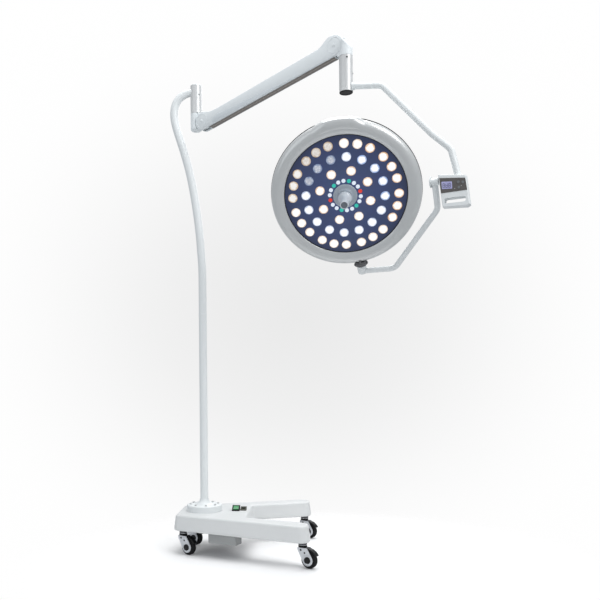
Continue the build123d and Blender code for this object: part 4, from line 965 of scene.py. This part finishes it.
# ------------------------------------------------------------------ stage: pale floor, soft studio light, camera
def floor():
    n = 96
    verts = [Vector((0, 0, 0))]
    faces = []
    radii = [0.5, 1, 1.6, 2.4, 3.4, 5, 8]
    for r in radii:
        for i in range(n):
            a = 2 * math.pi * i / n
            verts.append(Vector((r * math.cos(a), r * math.sin(a), 0)))
    for i in range(n):
        faces.append((0, 1 + i, 1 + (i + 1) % n))
        for k in range(len(radii) - 1):
            a, b = 1 + k * n, 1 + (k + 1) * n
            faces.append((a + i, b + i, b + (i + 1) % n, a + (i + 1) % n))
    me = bpy.data.meshes.new("studio_floor")
    me.from_pydata([tuple(p) for p in verts], [], faces)
    ob = bpy.data.objects.new("studio_floor", me)
    ob.location = (0, 0, -0.0008)
    bpy.context.scene.collection.objects.link(ob)
    m, nt, bs = nodes_of("floor_pale")
    N, L = nt.nodes, nt.links
    bs.inputs["Base Color"].default_value = (0.93, 0.93, 0.93, 1)
    bs.inputs["Roughness"].default_value = 0.75
    bs.inputs["Specular IOR Level"].default_value = 0.1
    tr = N.new("ShaderNodeBsdfTransparent")
    mix = N.new("ShaderNodeMixShader")
    tc = N.new("ShaderNodeTexCoord")
    ln = N.new("ShaderNodeVectorMath")
    ln.operation = "LENGTH"
    L.new(tc.outputs["Object"], ln.inputs[0])
    mr = N.new("ShaderNodeMapRange")
    mr.interpolation_type = "SMOOTHSTEP"
    mr.inputs["From Min"].default_value = 0.30
    mr.inputs["From Max"].default_value = 1.15
    mr.inputs["To Min"].default_value = 0.0
    mr.inputs["To Max"].default_value = 1.0
    L.new(ln.outputs["Value"], mr.inputs["Value"])
    L.new(mr.outputs[0], mix.inputs[0])
    L.new(bs.outputs[0], mix.inputs[1])
    L.new(tr.outputs[0], mix.inputs[2])
    L.new(mix.outputs[0], N["Material Output"].inputs[0])
    me.materials.append(m)


floor()

world = bpy.data.worlds.new("studio")
bpy.context.scene.world = world
world.use_nodes = True
nt = world.node_tree
N, L = nt.nodes, nt.links
bg = N["Background"]
bg.inputs[0].default_value = (0.93, 0.96, 1.0, 1)
bg.inputs[1].default_value = 0.52
bg2 = N.new("ShaderNodeBackground")
tc = N.new("ShaderNodeTexCoord")
sb = N.new("ShaderNodeVectorMath")
sb.operation = "SUBTRACT"
sb.inputs[1].default_value = (0.49, 0.48, 0)
L.new(tc.outputs["Window"], sb.inputs[0])
sc = N.new("ShaderNodeVectorMath")
sc.operation = "MULTIPLY"
sc.inputs[1].default_value = (1.0, 1.2, 0)
L.new(sb.outputs[0], sc.inputs[0])
ln = N.new("ShaderNodeVectorMath")
ln.operation = "LENGTH"
L.new(sc.outputs[0], ln.inputs[0])
rp = N.new("ShaderNodeValToRGB")
rp.color_ramp.interpolation = "B_SPLINE"
e = rp.color_ramp.elements
e[0].position, e[0].color = 0.0, (0.815, 0.815, 0.815, 1)
e[1].position, e[1].color = 0.56, (1, 1, 1, 1)
k = e.new(0.22)
k.color = (0.87, 0.87, 0.87, 1)
k = e.new(0.40)
k.color = (0.965, 0.965, 0.965, 1)
L.new(ln.outputs["Value"], rp.inputs[0])
L.new(rp.outputs[0], bg2.inputs[0])
lp = N.new("ShaderNodeLightPath")
mx = N.new("ShaderNodeMixShader")
L.new(lp.outputs["Is Camera Ray"], mx.inputs[0])
L.new(bg.outputs[0], mx.inputs[1])
L.new(bg2.outputs[0], mx.inputs[2])
L.new(mx.outputs[0], N["World Output"].inputs[0])


def area(name, loc, target, size, power, color=(1, 1, 1)):
    ld = bpy.data.lights.new(name, "AREA")
    ld.energy = power
    ld.size = size
    ld.color = color
    ob = bpy.data.objects.new(name, ld)
    ob.location = loc
    ob.rotation_mode = "QUATERNION"
    ob.rotation_quaternion = (Vector(target) - Vector(loc)).to_track_quat("-Z", "Y")
    bpy.context.scene.collection.objects.link(ob)


area("key", (2.6, -2.4, 3.4), (0, 0, 0.9), 2.2, 80)
area("fill", (-3.2, -2.6, 1.8), (0, 0, 0.9), 2.6, 22, (0.94, 0.97, 1))
area("back", (0.5, 3.2, 3.0), (0, 0, 1.0), 2.6, 45)
area("top", (0, 0, 4.2), (0, 0, 0), 2.5, 85)

cam = bpy.data.cameras.new("camera")
camo = bpy.data.objects.new("camera", cam)
bpy.context.scene.collection.objects.link(camo)
cam.sensor_fit = "HORIZONTAL"
cam.sensor_width = 36.0
cam.lens = 45.0
cam.clip_start, cam.clip_end = 0.05, 60
fw = Vector((-0.12360, 0.99233, 0)).normalized()
rt = Vector((0.99233, 0.12360, 0)).normalized()
th = math.radians(0.5)
rt2 = rt * math.cos(th) - UP * math.sin(th)
up2 = rt * math.sin(th) + UP * math.cos(th)
mt = Matrix((
    (rt2.x, up2.x, -fw.x, 0), (rt2.y, up2.y, -fw.y, 0), (rt2.z, up2.z, -fw.z, 0), (0, 0, 0, 1)))
mt.translation = W(448.6, -3029.1, 705.8)
camo.matrix_world = mt
bpy.context.scene.camera = camo
# the shifted lens belongs to this one standpoint: a camera walked round the object
# looks straight at it, so the shift goes back to nothing there
cam.shift_x = 0.13224
cam.shift_y = 0.12616
for prop, amount in (("shift_x", 0.13224), ("shift_y", 0.12616)):
    drv = cam.driver_add(prop).driver
    drv.type = "SCRIPTED"
    var = drv.variables.new()
    var.name = "y"
    var.type = "TRANSFORMS"
    var.targets[0].id = camo
    var.targets[0].transform_type = "LOC_Y"
    var.targets[0].transform_space = "WORLD_SPACE"
    drv.expression = "%.5f if abs(y + %.5f) < 0.002 else 0" % (amount, -camo.location.y)
bpy.context.scene.view_settings.view_transform = "Standard"
bpy.context.scene.view_settings.look = "None"
